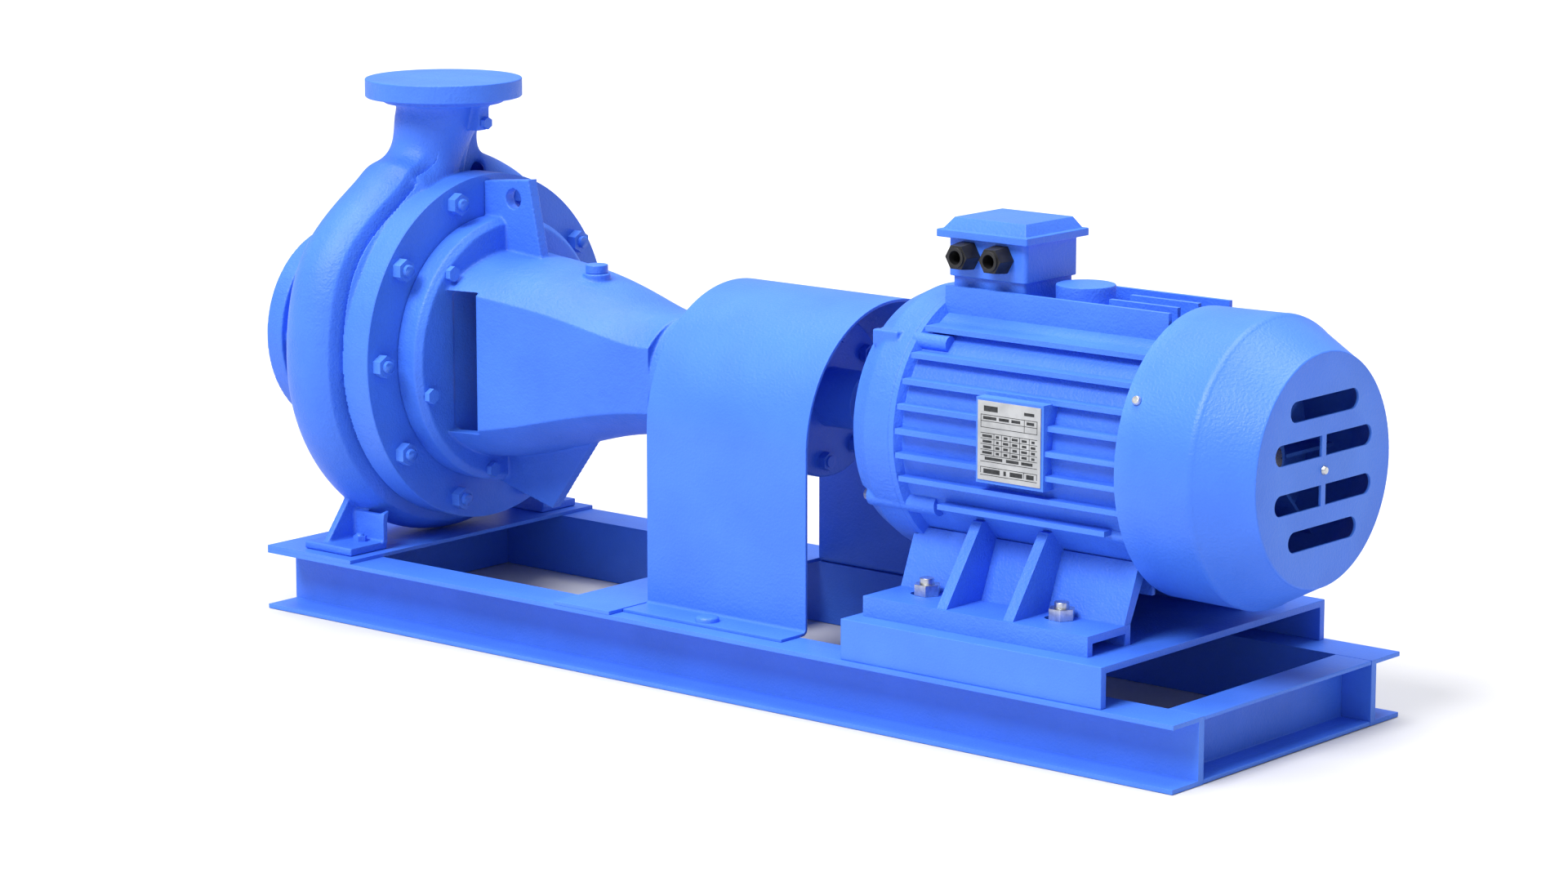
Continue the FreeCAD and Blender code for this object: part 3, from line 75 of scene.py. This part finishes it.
def surface(name, dark, light, roughness, metallic=0.0, patch=30.0, bumps=(), coat=0.0,
            edge_highlight=None):
    """A finish whose colour and roughness drift over the surface, with layers of bump.

    dark and light are the two ends of the colour drift, patch its scale per metre,
    bumps are (scale per metre, detail, depth in metres), and edge_highlight is a lighter
    colour painted on sharp edges as a painted highlight.
    """
    material = bpy.data.materials.new(name)
    material.use_nodes = True
    tree = material.node_tree
    links = tree.links
    shader = tree.nodes["Principled BSDF"]
    shader.inputs["Metallic"].default_value = metallic
    shader.inputs["Specular IOR Level"].default_value = SPECULAR
    shader.inputs["Coat Weight"].default_value = coat
    shader.inputs["Coat Roughness"].default_value = COAT_ROUGHNESS
    place = tree.nodes.new("ShaderNodeTexCoord").outputs["Object"]

    def noise(scale, detail):
        node = tree.nodes.new("ShaderNodeTexNoise")
        node.inputs["Scale"].default_value = scale
        node.inputs["Detail"].default_value = detail
        node.inputs["Roughness"].default_value = NOISE_ROUGHNESS
        links.new(place, node.inputs["Vector"])
        return node.outputs["Fac"]

    def graded(source, stops, colours):
        """A colour that goes from the first of colours to the second between the stops."""
        node = tree.nodes.new("ShaderNodeValToRGB")
        for element, stop, colour in zip(node.color_ramp.elements, stops, colours):
            element.position = stop
            element.color = (*colour, 1.0)
        links.new(source, node.inputs["Fac"])
        return node.outputs["Color"]

    colour = graded(noise(patch, DRIFT_DETAIL), DRIFT_STOPS, (dark, light))
    # Sharp edges get a lighter colour mixed in: a painted highlight.
    if edge_highlight:
        pointiness = tree.nodes.new("ShaderNodeNewGeometry").outputs["Pointiness"]
        highlight_share = graded(pointiness, EDGE_STOPS, ((0.0,) * 3, (EDGE_HIGHLIGHT,) * 3))
        mix = tree.nodes.new("ShaderNodeMix")
        mix.data_type = "RGBA"
        mix.inputs["B"].default_value = (*edge_highlight, 1.0)
        links.new(highlight_share, mix.inputs["Factor"])
        links.new(colour, mix.inputs["A"])
        colour = mix.outputs["Result"]
    links.new(colour, shader.inputs["Base Color"])

    spread = tree.nodes.new("ShaderNodeMapRange")
    spread.inputs["To Min"].default_value = roughness[0]
    spread.inputs["To Max"].default_value = roughness[1]
    links.new(noise(patch * ROUGHNESS_SCALE, ROUGHNESS_DETAIL), spread.inputs["Value"])
    links.new(spread.outputs["Result"], shader.inputs["Roughness"])

    normal = None
    for scale, detail, depth in bumps:
        bump = tree.nodes.new("ShaderNodeBump")
        bump.inputs["Distance"].default_value = depth
        bump.inputs["Strength"].default_value = 1.0
        links.new(noise(scale, detail), bump.inputs["Height"])
        if normal:
            links.new(normal, bump.inputs["Normal"])
        normal = bump.outputs["Normal"]
    if normal:
        links.new(normal, shader.inputs["Normal"])
    return material


BLUE_DARK = (0.044, 0.158, 0.70)
BLUE_LIGHT = (0.053, 0.182, 0.79)
# The lighter blue of the painted highlight along sharp edges.
BLUE_EDGE_HIGHLIGHT = (0.13, 0.32, 0.82)


def enamel(name, roughness, patch, bumps):
    """The blue paint, with a painted highlight a little lighter along sharp edges."""
    return surface(name, BLUE_DARK, BLUE_LIGHT, roughness, patch=patch, bumps=bumps,
                   edge_highlight=BLUE_EDGE_HIGHLIGHT)


PAINT_CAST = enamel("paint_on_casting", (0.40, 0.54), 18,
                    ((150, 4, 0.00055), (520, 3, 0.00055)))
PAINT_SHEET = enamel("paint_on_sheet", (0.36, 0.48), 12, ((470, 2, 0.00042),))
PAINT_ROLLED = enamel("paint_on_rolled_steel", (0.38, 0.52), 14,
                      ((90, 3, 0.00020), (520, 2, 0.00038)))
ZINC = surface("zinc_plate", (0.46, 0.47, 0.48), (0.66, 0.67, 0.68), (0.24, 0.42),
               metallic=1.0, patch=220, bumps=((1500, 3, 0.00004),))
STEEL = surface("bright_steel", (0.40, 0.41, 0.42), (0.56, 0.57, 0.58), (0.20, 0.36),
                metallic=1.0, patch=90, bumps=((900, 2, 0.00003),))
CHROME = surface("bearing_steel", (0.60, 0.61, 0.63), (0.70, 0.71, 0.73), (0.08, 0.16),
                 metallic=1.0, patch=60, bumps=((400, 2, 0.00001),))
BRASS = surface("cage_brass", (0.50, 0.33, 0.12), (0.62, 0.44, 0.18), (0.25, 0.4),
                metallic=1.0, patch=90, bumps=((700, 2, 0.00003),))
IRON = surface("bare_casting", (0.10, 0.10, 0.105), (0.19, 0.19, 0.195), (0.45, 0.65),
               metallic=0.8, patch=60, bumps=((260, 5, 0.00035), (1200, 3, 0.0001)))
RUBBER = surface("black_rubber", (0.012, 0.012, 0.012), (0.028, 0.028, 0.028), (0.6, 0.8),
                 patch=80, bumps=((1400, 3, 0.00005),))
BLACK_PLASTIC = surface("black_plastic", (0.010, 0.010, 0.011), (0.022, 0.022, 0.024),
                        (0.34, 0.5), patch=120, bumps=((1800, 2, 0.00003),))
FIBRE = surface("gasket_fibre", (0.10, 0.14, 0.10), (0.16, 0.20, 0.15), (0.7, 0.9),
                patch=300, bumps=((1600, 4, 0.00008),))
WINDING = surface("varnished_winding", (0.22, 0.06, 0.015), (0.45, 0.15, 0.04), (0.2, 0.4),
                  patch=200, bumps=((500, 2, 0.0006),), coat=0.5)
CORE = surface("core_steel", (0.16, 0.16, 0.17), (0.26, 0.26, 0.27), (0.35, 0.5),
               metallic=1.0, patch=60, bumps=((1200, 1, 0.00005),))
SILVER = surface("nameplate_silver", (0.40, 0.41, 0.42), (0.52, 0.53, 0.54), (0.30, 0.45),
                 metallic=0.6, patch=70, bumps=((1300, 2, 0.00003),))
INK = surface("nameplate_ink", (0.015, 0.016, 0.018), (0.035, 0.037, 0.040), (0.5, 0.7),
              patch=400, bumps=((1500, 2, 0.00002),))
BLOCK = surface("terminal_block", (0.05, 0.045, 0.04), (0.09, 0.08, 0.07), (0.4, 0.6),
                patch=100, bumps=((900, 2, 0.00004),))
FINISHES = {
    "blue_paint": PAINT_SHEET, "bare_casting": IRON, "bright_steel": STEEL, "zinc": ZINC,
    "bearing_steel": CHROME, "brass_part": BRASS, "rubber_part": RUBBER,
    "gasket_fibre": FIBRE, "black_plastic": BLACK_PLASTIC, "copper_winding": WINDING,
    "core_steel": CORE, "plate_silver": SILVER, "block_plastic": BLOCK,
}

for name, node in NODES.items():
    node.data.materials.clear()
    node.data.materials.append(FINISHES[SLOT_OF[name]])


# ---------------------------------------------------------------- ways to make a piece

WELD_GAP = 0.01 * MM
FLAT_ANGLE = 0.4      # degrees; facets closer than this become one face
CRISP_ANGLE = 28      # degrees; edges above it stay sharp in the shading
BEVEL_ANGLE = 32      # degrees; edges above it are broken
SHARP_ANGLE = 40      # degrees; as CRISP_ANGLE, for broken edges and turned pieces
ALL_SMOOTH = 180      # degrees; no edge stays sharp
LEAST_SHARE = 0.01    # weaker softening than this is left out

# The voxel in millimetres and the rounds of smoothing that turn a CAD node into a casting.
CASTING_SKIN = {
    "volute_casing": (1.1, 2) if FINE else (2.6, 1),
    "bearing_bracket": (1.0, 3) if FINE else (2.6, 1),
    "endshield_drive": (0.9, 2) if FINE else (2.2, 1),
}


def mesh_of(name, bm):
    """The mesh of a finished bmesh, which is freed."""
    mesh = bpy.data.meshes.new(name)
    bm.to_mesh(mesh)
    bm.free()
    return mesh


def add_piece(name, mesh, material, body):
    """Put a mesh in the scene as a piece riding on a body."""
    mesh.materials.clear()
    mesh.materials.append(material)
    piece = bpy.data.objects.new(name, mesh)
    bpy.context.scene.collection.objects.link(piece)
    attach(piece, body)
    return piece


def in_place_of(node, name, bm, material):
    """A piece made of a bmesh, shown in place of a CAD node and riding on its body."""
    piece = add_piece(name, mesh_of(name, bm), material, BODY_OF[node])
    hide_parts(node)
    return piece


def stand_for(node, material, flatten=FLAT_ANGLE):
    """A piece with a CAD node's own shape, its corners shared and its flat faces whole."""
    bm = bmesh.new()
    bm.from_mesh(NODES[node].data)
    bmesh.ops.remove_doubles(bm, verts=bm.verts, dist=WELD_GAP)
    if flatten:
        bmesh.ops.dissolve_limit(bm, angle_limit=math.radians(flatten), verts=bm.verts,
                                 edges=bm.edges, use_dissolve_boundaries=False)
    return in_place_of(node, node + "_shape", bm, material)


def applied(piece):
    """Bake a piece's modifiers into its mesh."""
    bpy.context.view_layer.update()
    mesh = bpy.data.meshes.new_from_object(
        piece.evaluated_get(bpy.context.evaluated_depsgraph_get()))
    piece.modifiers.clear()
    piece.data = mesh
    return piece


def smooth_shaded(piece, angle):
    """Smooth shading, broken at edges sharper than angle degrees."""
    for polygon in piece.data.polygons:
        polygon.use_smooth = True
    piece.data.set_sharp_from_angle(angle=math.radians(angle))


def evenly_shaded(piece, angle):
    """Smooth shading between sharp edges, in which the large faces keep their own normals."""
    smooth_shaded(piece, angle)
    even = piece.modifiers.new("even", "WEIGHTED_NORMAL")
    even.keep_sharp = True
    return applied(piece)


def broken_edges(piece, width, angle):
    """Break a piece's edges sharper than angle degrees with a small round."""
    bevel = piece.modifiers.new("edges", "BEVEL")
    bevel.width = width
    bevel.segments = 2
    bevel.limit_method = "ANGLE"
    bevel.angle_limit = math.radians(angle)
    return applied(piece)


def crisp(node, material):
    """The CAD node with its edges left sharp and its curved faces smooth."""
    return evenly_shaded(stand_for(node, material, flatten=0), CRISP_ANGLE)


def bevelled(node, material, width):
    """The CAD node with its sharp edges broken by width in millimetres."""
    piece = broken_edges(stand_for(node, material), width * MM, BEVEL_ANGLE)
    return evenly_shaded(piece, SHARP_ANGLE)


def casting(node):
    """The CAD node as a sand casting: every corner and joint softly rounded."""
    voxel, rounds = CASTING_SKIN[node]
    piece = stand_for(node, PAINT_CAST, flatten=0)
    remesh = piece.modifiers.new("skin", "REMESH")
    remesh.mode = "VOXEL"
    remesh.voxel_size = voxel * MM
    soften = piece.modifiers.new("soften", "SMOOTH")
    soften.factor = 0.5
    soften.iterations = rounds
    applied(piece)
    smooth_shaded(piece, ALL_SMOOTH)
    return piece


def turned_piece(name, node, axis, profile, centres, material, segments=192, closed=False):
    """A piece standing for node, turned about axis x or z at each of the centres.

    profile is (station along the axis, radius) pairs; closed joins its two ends.
    """
    bm = bmesh.new()
    for centre in centres:
        rings = []
        for station, radius in profile:
            ring = []
            for step in range(segments):
                turn = 2 * math.pi * step / segments
                across, up = radius * math.cos(turn), radius * math.sin(turn)
                if axis == "z":
                    spot = (centre[0] + across, centre[1] + up, station)
                else:
                    spot = (station, centre[0] + across, centre[1] + up)
                ring.append(bm.verts.new(spot))
            rings.append(ring)
        if closed:
            rings.append(rings[0])
        else:
            bm.faces.new(rings[0])
            bm.faces.new(rings[-1])
        for lower, upper in zip(rings, rings[1:]):
            for step in range(segments):
                after = (step + 1) % segments
                bm.faces.new((lower[step], lower[after], upper[after], upper[step]))
    bmesh.ops.recalc_face_normals(bm, faces=bm.faces)
    return evenly_shaded(in_place_of(node, name, bm, material), SHARP_ANGLE)


def ramp(value, origin, start, end):
    """0 at origin + start, 1 at origin + end, smooth between; end may be below start."""
    start, end = origin + start, origin + end
    share = min(1.0, max(0.0, (value - start) / (end - start)))
    return share * share * (3 - 2 * share)


def soften_where(piece, share_at, rounds):
    """Extra smoothing of a piece, as strong at each point as share_at(point) says."""
    group = piece.vertex_groups.new(name="soft")
    for vertex in piece.data.vertices:
        share = share_at(vertex.co)
        if share > LEAST_SHARE:
            group.add((vertex.index,), share, "REPLACE")
    soften = piece.modifiers.new("soften", "SMOOTH")
    soften.iterations = rounds
    soften.vertex_group = group.name
    applied(piece)
    piece.vertex_groups.clear()


def middle_of(low, high):
    """The middle of a box, seen from above."""
    return (low.x + high.x) / 2, (low.y + high.y) / 2


# ---------------------------------------------------------------- the volute

shaft_low, shaft_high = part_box("motor_shaft")
AXIS_Z = (shaft_low.z + shaft_high.z) / 2
CASING_FLANGE_DEPTH = 14.0 * MM

# Where the neck is softened into the spiral. Each pair is where the softening starts and
# where it is full: measured up from the top of the flange's circle (from below and from
# above), off the middle plane, and along the shaft from the flange's front.
NECK_ROUNDS = 240 if FINE else 40
NECK_FROM_BELOW = (-45 * MM, -15 * MM)
NECK_FROM_ABOVE = (32 * MM, 16 * MM)
NECK_FROM_SIDES = (95 * MM, 70 * MM)
NECK_FROM_FLANGE = (-2 * MM, -9 * MM)

# The groove between the spiral and the flange. It fades out where the spiral stands far
# beyond the flange's circle.
GROOVE_WIDTH = 8.5 * MM
GROOVE_DEPTH = 15.0 * MM
GROOVE_FLOOR = 17 * MM
GROOVE_END = 0.3 * MM
GROOVE_FADE = (26 * MM, 4 * MM)


def shape_volute():
    """The volute: a softly blended neck, and a groove between the spiral and its flange."""
    piece = casting("volute_casing")
    gasket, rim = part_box("casing_gasket")
    front = gasket.x - CASING_FLANGE_DEPTH
    flange_radius = (rim.z - gasket.z) / 2
    flange_top = AXIS_Z + flange_radius
    soften_where(piece, lambda spot: (
        ramp(spot.z, flange_top, *NECK_FROM_BELOW) * ramp(spot.z, flange_top, *NECK_FROM_ABOVE)
        * ramp(abs(spot.y), 0.0, *NECK_FROM_SIDES)
        * ramp(spot.x, front, *NECK_FROM_FLANGE)), NECK_ROUNDS)
    lowest = flange_radius - GROOVE_FLOOR
    for vertex in piece.data.vertices:
        spot = vertex.co
        radius = math.hypot(spot.y, spot.z - AXIS_Z)
        if front - GROOVE_WIDTH < spot.x < front - GROOVE_END and radius > lowest:
            depth = (GROOVE_DEPTH * ramp(spot.x, front, -GROOVE_WIDTH, -GROOVE_WIDTH / 3)
                     * ramp(radius, flange_radius, *GROOVE_FADE))
            sunk = max(lowest, radius - depth)
            spot.y *= sunk / radius
            spot.z = AXIS_Z + (spot.z - AXIS_Z) * sunk / radius


# ---------------------------------------------------------------- the guard

GUARD_SHEET = 2.5 * MM
GUARD_BEND = 2.5 * MM
GUARD_RADIUS = 105.75 * MM
GUARD_OFFSET = 4.25 * MM      # the arch stands this far off the shaft's line
GUARD_EDGE = 0.5 * MM
GUARD_EDGE_ANGLE = 60
GUARD_SHARP_ANGLE = 45
BEND_STEPS = 6
ARCH_STEPS = 72
SCREW_INSET = 8.6 * MM        # from the end of the screws' box to a screw's middle
SCREW_HEAD = 9.2 * MM
SCREW_SEGMENTS = 48


def shape_guard():
    """The coupling guard: one sheet bent over in an arch, with a foot along each side."""
    low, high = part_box("coupling_guard")
    outer, inner = [], []

    def arc(y, z, out, within, start, end, steps):
        for step in range(steps + 1):
            turn = math.radians(start + (end - start) * step / steps)
            outer.append((y + out * math.cos(turn), z + out * math.sin(turn)))
            inner.append((y + within * math.cos(turn), z + within * math.sin(turn)))

    def foot_edge(y):
        outer.append((y, low.z + GUARD_SHEET))
        inner.append((y, low.z))

    bend_z = low.z + GUARD_SHEET + GUARD_BEND
    bend_out = GUARD_BEND + GUARD_SHEET
    foot_edge(low.y)
    arc(GUARD_OFFSET - GUARD_RADIUS - GUARD_BEND, bend_z, GUARD_BEND, bend_out, -90, 0,
        BEND_STEPS)
    arc(GUARD_OFFSET, high.z - GUARD_RADIUS, GUARD_RADIUS, GUARD_RADIUS - GUARD_SHEET, 180, 0,
        ARCH_STEPS)
    arc(GUARD_OFFSET + GUARD_RADIUS + GUARD_BEND, bend_z, GUARD_BEND, bend_out, 180, 270,
        BEND_STEPS)
    foot_edge(high.y)
    bm = bmesh.new()
    edges = [[bm.verts.new((x, y, z)) for y, z in line]
             for x, line in ((low.x, outer), (high.x, outer), (high.x, inner), (low.x, inner))]
    for line, beside in zip(edges, edges[1:] + edges[:1]):
        for index in range(len(line) - 1):
            bm.faces.new((line[index], line[index + 1], beside[index + 1], beside[index]))
    bm.faces.new([line[0] for line in edges])
    bm.faces.new([line[-1] for line in edges])
    bmesh.ops.recalc_face_normals(bm, faces=bm.faces)
    piece = in_place_of("coupling_guard", "coupling_guard_sheet", bm, PAINT_SHEET)
    evenly_shaded(broken_edges(piece, GUARD_EDGE, GUARD_EDGE_ANGLE), GUARD_SHARP_ANGLE)


def shape_guard_screws():
    """The low round heads of the screws in the guard's feet."""
    low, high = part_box("guard_screws")
    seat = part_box("coupling_guard")[0].z + GUARD_SHEET
    reach = (high.y - low.y) / 2 - SCREW_INSET
    turned_piece("guard_screw_heads", "guard_screws", "z", [
        (seat - 1 * MM, SCREW_HEAD), (seat + 2.2 * MM, SCREW_HEAD),
        (seat + 3.4 * MM, SCREW_HEAD - 0.9 * MM), (seat + 4.3 * MM, SCREW_HEAD - 3.2 * MM),
    ], [((low.x + high.x) / 2, side * reach) for side in (-1, 1)], PAINT_SHEET,
        segments=SCREW_SEGMENTS)


# ---------------------------------------------------------------- discs under one coat

# One coat of paint closes the joint between the discharge flange and its blank, and the
# joints of the casing flange, gasket and cover, so each stack shows as one disc.
FILM = 0.25 * MM
DISCHARGE_FLANGE_DEPTH = 12 * MM
COVER_RIM_DEPTH = 12.3 * MM
CAP_SKIRT = 16 * MM


def shape_discharge_disc():
    """The discharge flange and its blank."""
    low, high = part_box("discharge_cover")
    radius = (high.x - low.x) / 2
    underside = low.z - DISCHARGE_FLANGE_DEPTH
    turned_piece("discharge_disc", "discharge_cover", "z", [
        (underside - FILM, radius - 3 * MM), (underside - FILM, radius - 0.6 * MM),
        (underside + 0.6 * MM, radius + FILM), (high.z - 0.9 * MM, radius + FILM),
        (high.z - 0.25 * MM, radius - 0.2 * MM), (high.z, radius - 1.0 * MM),
    ], [middle_of(low, high)], PAINT_CAST)


def shape_casing_band():
    """The rims of the casing flange, the gasket and the cover, as one band."""
    low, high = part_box("casing_gasket")
    radius = (high.z - low.z) / 2
    front = low.x - CASING_FLANGE_DEPTH
    rear = high.x + COVER_RIM_DEPTH
    turned_piece("casing_band", "casing_gasket", "x", [
        (front - FILM, radius - 6 * MM), (front - FILM, radius - 0.6 * MM),
        (front + 0.8 * MM, radius + FILM), (rear - 0.8 * MM, radius + FILM),
        (rear - 0.1 * MM, radius - 0.4 * MM), (rear - 0.1 * MM, radius - 2 * MM),
        (front + 3 * MM, radius - 6 * MM),
    ], [(0.0, AXIS_Z)], PAINT_CAST, closed=True)


def shape_frame_cap():
    """The round cap on top of the motor frame."""
    low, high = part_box("frame_top_cap")
    radius = (high.x - low.x) / 2
    turned_piece("frame_cap", "frame_top_cap", "z", [
        (high.z - CAP_SKIRT, radius - 0.4 * MM), (high.z - 1.1 * MM, radius),
        (high.z - 0.3 * MM, radius - 0.4 * MM), (high.z, radius - 1.4 * MM),
    ], [middle_of(low, high)], PAINT_CAST)


# ---------------------------------------------------------------- nameplate table

# Shares of the plate's width and height, measured from its top left corner.
TABLE_LEFT, TABLE_RIGHT = 0.05, 0.95
TABLE_ROWS = (0.17, 0.25, 0.33, 0.40, 0.47, 0.54, 0.61, 0.68, 0.76, 0.83, 0.93)
TABLE_COLUMNS = (0.26, 0.38, 0.52, 0.67, 0.82)
GRID_FIRST, GRID_LAST = 3, 7            # the rows between which the columns run
SPLIT_COLUMN = 0.74
SPLIT_ROWS = ((0, 2), (9, 1))           # first row, and how many rows tall
SPLIT_PITCH = 0.08
FILL_TOP, FILL_SIDE = 0.024, 0.028      # gaps between a cell's lines and its filling
GRID_FILL_BOTTOM, ROW_FILL_BOTTOM = 0.014, 0.018
FILL_STEP, FILL_CYCLE = 0.006, 3        # cells are filled to three different lengths
FILLED_ROWS = (
    (0, ((0.09, 0.30), (0.34, 0.50), (0.54, 0.68), (0.78, 0.90))),
    (7, ((0.12, 0.40), (0.46, 0.66), (0.70, 0.88))),
    (9, ((0.10, 0.36), (0.42, 0.46), (0.52, 0.72), (0.78, 0.90))),
)
HEADING_BARS = ((0.10, 0.32, 0.06, 0.13), (0.74, 0.90, 0.08, 0.12))
RULE = 0.45 * MM
PROUD = 0.06 * MM


def ruled_table():
    """The nameplate's ruled lines and short filled cells, as a thin layer of ink."""
    low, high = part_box("nameplate")
    width, height = high.x - low.x, high.z - low.z
    rule_wide, rule_tall = RULE / width, RULE / height
    bm = bmesh.new()

    def bar(left, right, top, bottom):
        """A bar between shares of the plate's width and height."""
        x0, x1 = low.x + left * width, low.x + right * width
        z0, z1 = high.z - bottom * height, high.z - top * height
        corners = [bm.verts.new((x, y, z)) for y in (low.y - PROUD, low.y + PROUD)
                   for x, z in ((x0, z0), (x1, z0), (x1, z1), (x0, z1))]
        front, back = corners[:4], corners[4:]
        bm.faces.new(front)
        bm.faces.new(back[::-1])
        for side in range(4):
            after = (side + 1) % 4
            bm.faces.new((front[after], front[side], back[side], back[after]))

    for row in TABLE_ROWS:
        bar(TABLE_LEFT, TABLE_RIGHT, row, row + rule_tall)
    for column in TABLE_COLUMNS:
        bar(column, column + rule_wide, TABLE_ROWS[GRID_FIRST], TABLE_ROWS[GRID_LAST])
    for row, rows in SPLIT_ROWS:
        top = TABLE_ROWS[row]
        for share in (TABLE_LEFT, SPLIT_COLUMN, TABLE_RIGHT - rule_wide):
            bar(share, share + rule_wide, top, top + rows * SPLIT_PITCH)
    cells = tuple(zip((TABLE_LEFT, *TABLE_COLUMNS), (*TABLE_COLUMNS, TABLE_RIGHT)))
    for row in range(GRID_FIRST, GRID_LAST):
        for column, (left, right) in enumerate(cells):
            inset = FILL_SIDE + FILL_STEP * ((row + column) % FILL_CYCLE)
            bar(left + inset, right - inset, TABLE_ROWS[row] + FILL_TOP,
                TABLE_ROWS[row + 1] - GRID_FILL_BOTTOM)
    for row, stops in FILLED_ROWS:
        for left, right in stops:
            bar(left, right, TABLE_ROWS[row] + FILL_TOP,
                TABLE_ROWS[row + 1] - ROW_FILL_BOTTOM)
    for heading in HEADING_BARS:
        bar(*heading)
    bmesh.ops.recalc_face_normals(bm, faces=bm.faces)
    add_piece("nameplate_table", mesh_of("nameplate_table", bm), INK, BODY_OF["nameplate"])


# ---------------------------------------------------------------- all pieces

shape_volute()
shape_guard()
casting("bearing_bracket")
casting("endshield_drive")
bevelled("motor_frame", PAINT_CAST, 0.35)
for node, width in {
    "base_rail_near": 1.0, "base_rail_far": 1.0, "base_end_pump": 1.0, "base_end_motor": 1.0,
    "pump_pad_plate": 0.4, "mid_cross_plate": 0.4, "motor_pedestal": 1.2,
}.items():
    bevelled(node, PAINT_ROLLED, width)
for node, width in {
    "casing_cover": 0.7, "bearing_end_cover": 0.7, "coupling_half_pump": 0.6,
    "coupling_half_motor": 0.6, "terminal_box": 0.8, "terminal_lid": 0.9,
    "coupling_pins": 0.4, "oil_filler_plug": 0.8, "casing_plugs": 0.3,
    "end_cover_screws": 0.3,
}.items():
    bevelled(node, PAINT_SHEET, width)
for node in ("fan_cover", "casing_studs_nuts", "bracket_bolts", "pump_foot_bolts"):
    crisp(node, PAINT_SHEET)
for node in ("motor_foot_bolts", "endshield_screws", "fan_cover_screws"):
    bevelled(node, ZINC, 0.4)
bevelled("cable_glands", BLACK_PLASTIC, 0.4)
bevelled("nameplate", SILVER, 0.25)
shape_discharge_disc()
shape_casing_band()
shape_frame_cap()
shape_guard_screws()
ruled_table()


# ---------------------------------------------------------------- stage

FLOOR_SIZE = 14.0
FLOOR_DROP = 0.4 * MM
WORLD_STRENGTH = 0.48
VIEW_AZIMUTH = math.radians(40.0567)
VIEW_ELEVATION = math.radians(10.8952)
CAMERA_PLACE = Vector((2.2832, -2.7233, 0.8569))
LENS = 106.36
SENSOR_WIDTH = 36.0
CLIP_END = 60.0


def make_floor():
    bm = bmesh.new()
    bmesh.ops.create_grid(bm, x_segments=2, y_segments=2, size=FLOOR_SIZE)
    mesh = mesh_of("floor", bm)
    mesh.materials.append(surface("studio_floor", (0.57, 0.57, 0.58), (0.60, 0.60, 0.61),
                                  (0.8, 0.9), patch=3))
    floor = bpy.data.objects.new("floor", mesh)
    floor.location.z = -FLOOR_DROP
    bpy.context.scene.collection.objects.link(floor)


def soft_light(name, place, strength, spread):
    """A broad lamp far off in the direction of place, as wide as spread degrees."""
    light = bpy.data.lights.new(name, "SUN")
    light.energy = strength
    light.angle = math.radians(spread)
    lamp = bpy.data.objects.new(name, light)
    lamp.location = place
    lamp.rotation_euler = (-Vector(place)).to_track_quat("-Z", "Y").to_euler()
    bpy.context.scene.collection.objects.link(lamp)


def make_world():
    world = bpy.data.worlds.new("studio")
    world.use_nodes = True
    background = world.node_tree.nodes["Background"]
    background.inputs["Color"].default_value = (1.0, 1.0, 1.0, 1.0)
    background.inputs["Strength"].default_value = WORLD_STRENGTH
    bpy.context.scene.world = world
    bpy.context.scene.view_settings.view_transform = "Standard"


def make_camera():
    camera = bpy.data.objects.new("camera", bpy.data.cameras.new("camera"))
    camera.data.lens = LENS
    camera.data.sensor_width = SENSOR_WIDTH
    camera.data.clip_end = CLIP_END
    camera.location = CAMERA_PLACE
    toward = -Vector((math.sin(VIEW_AZIMUTH) * math.cos(VIEW_ELEVATION),
                      -math.cos(VIEW_AZIMUTH) * math.cos(VIEW_ELEVATION),
                      math.sin(VIEW_ELEVATION)))
    camera.rotation_euler = toward.to_track_quat("-Z", "Y").to_euler()
    bpy.context.scene.collection.objects.link(camera)
    bpy.context.scene.camera = camera


make_floor()
soft_light("key_light", (-0.2, -2.8, 3.4), 3.5, 26)
soft_light("top_light", (-0.4, 0.4, 3.4), 2.9, 44)
make_world()
make_camera()
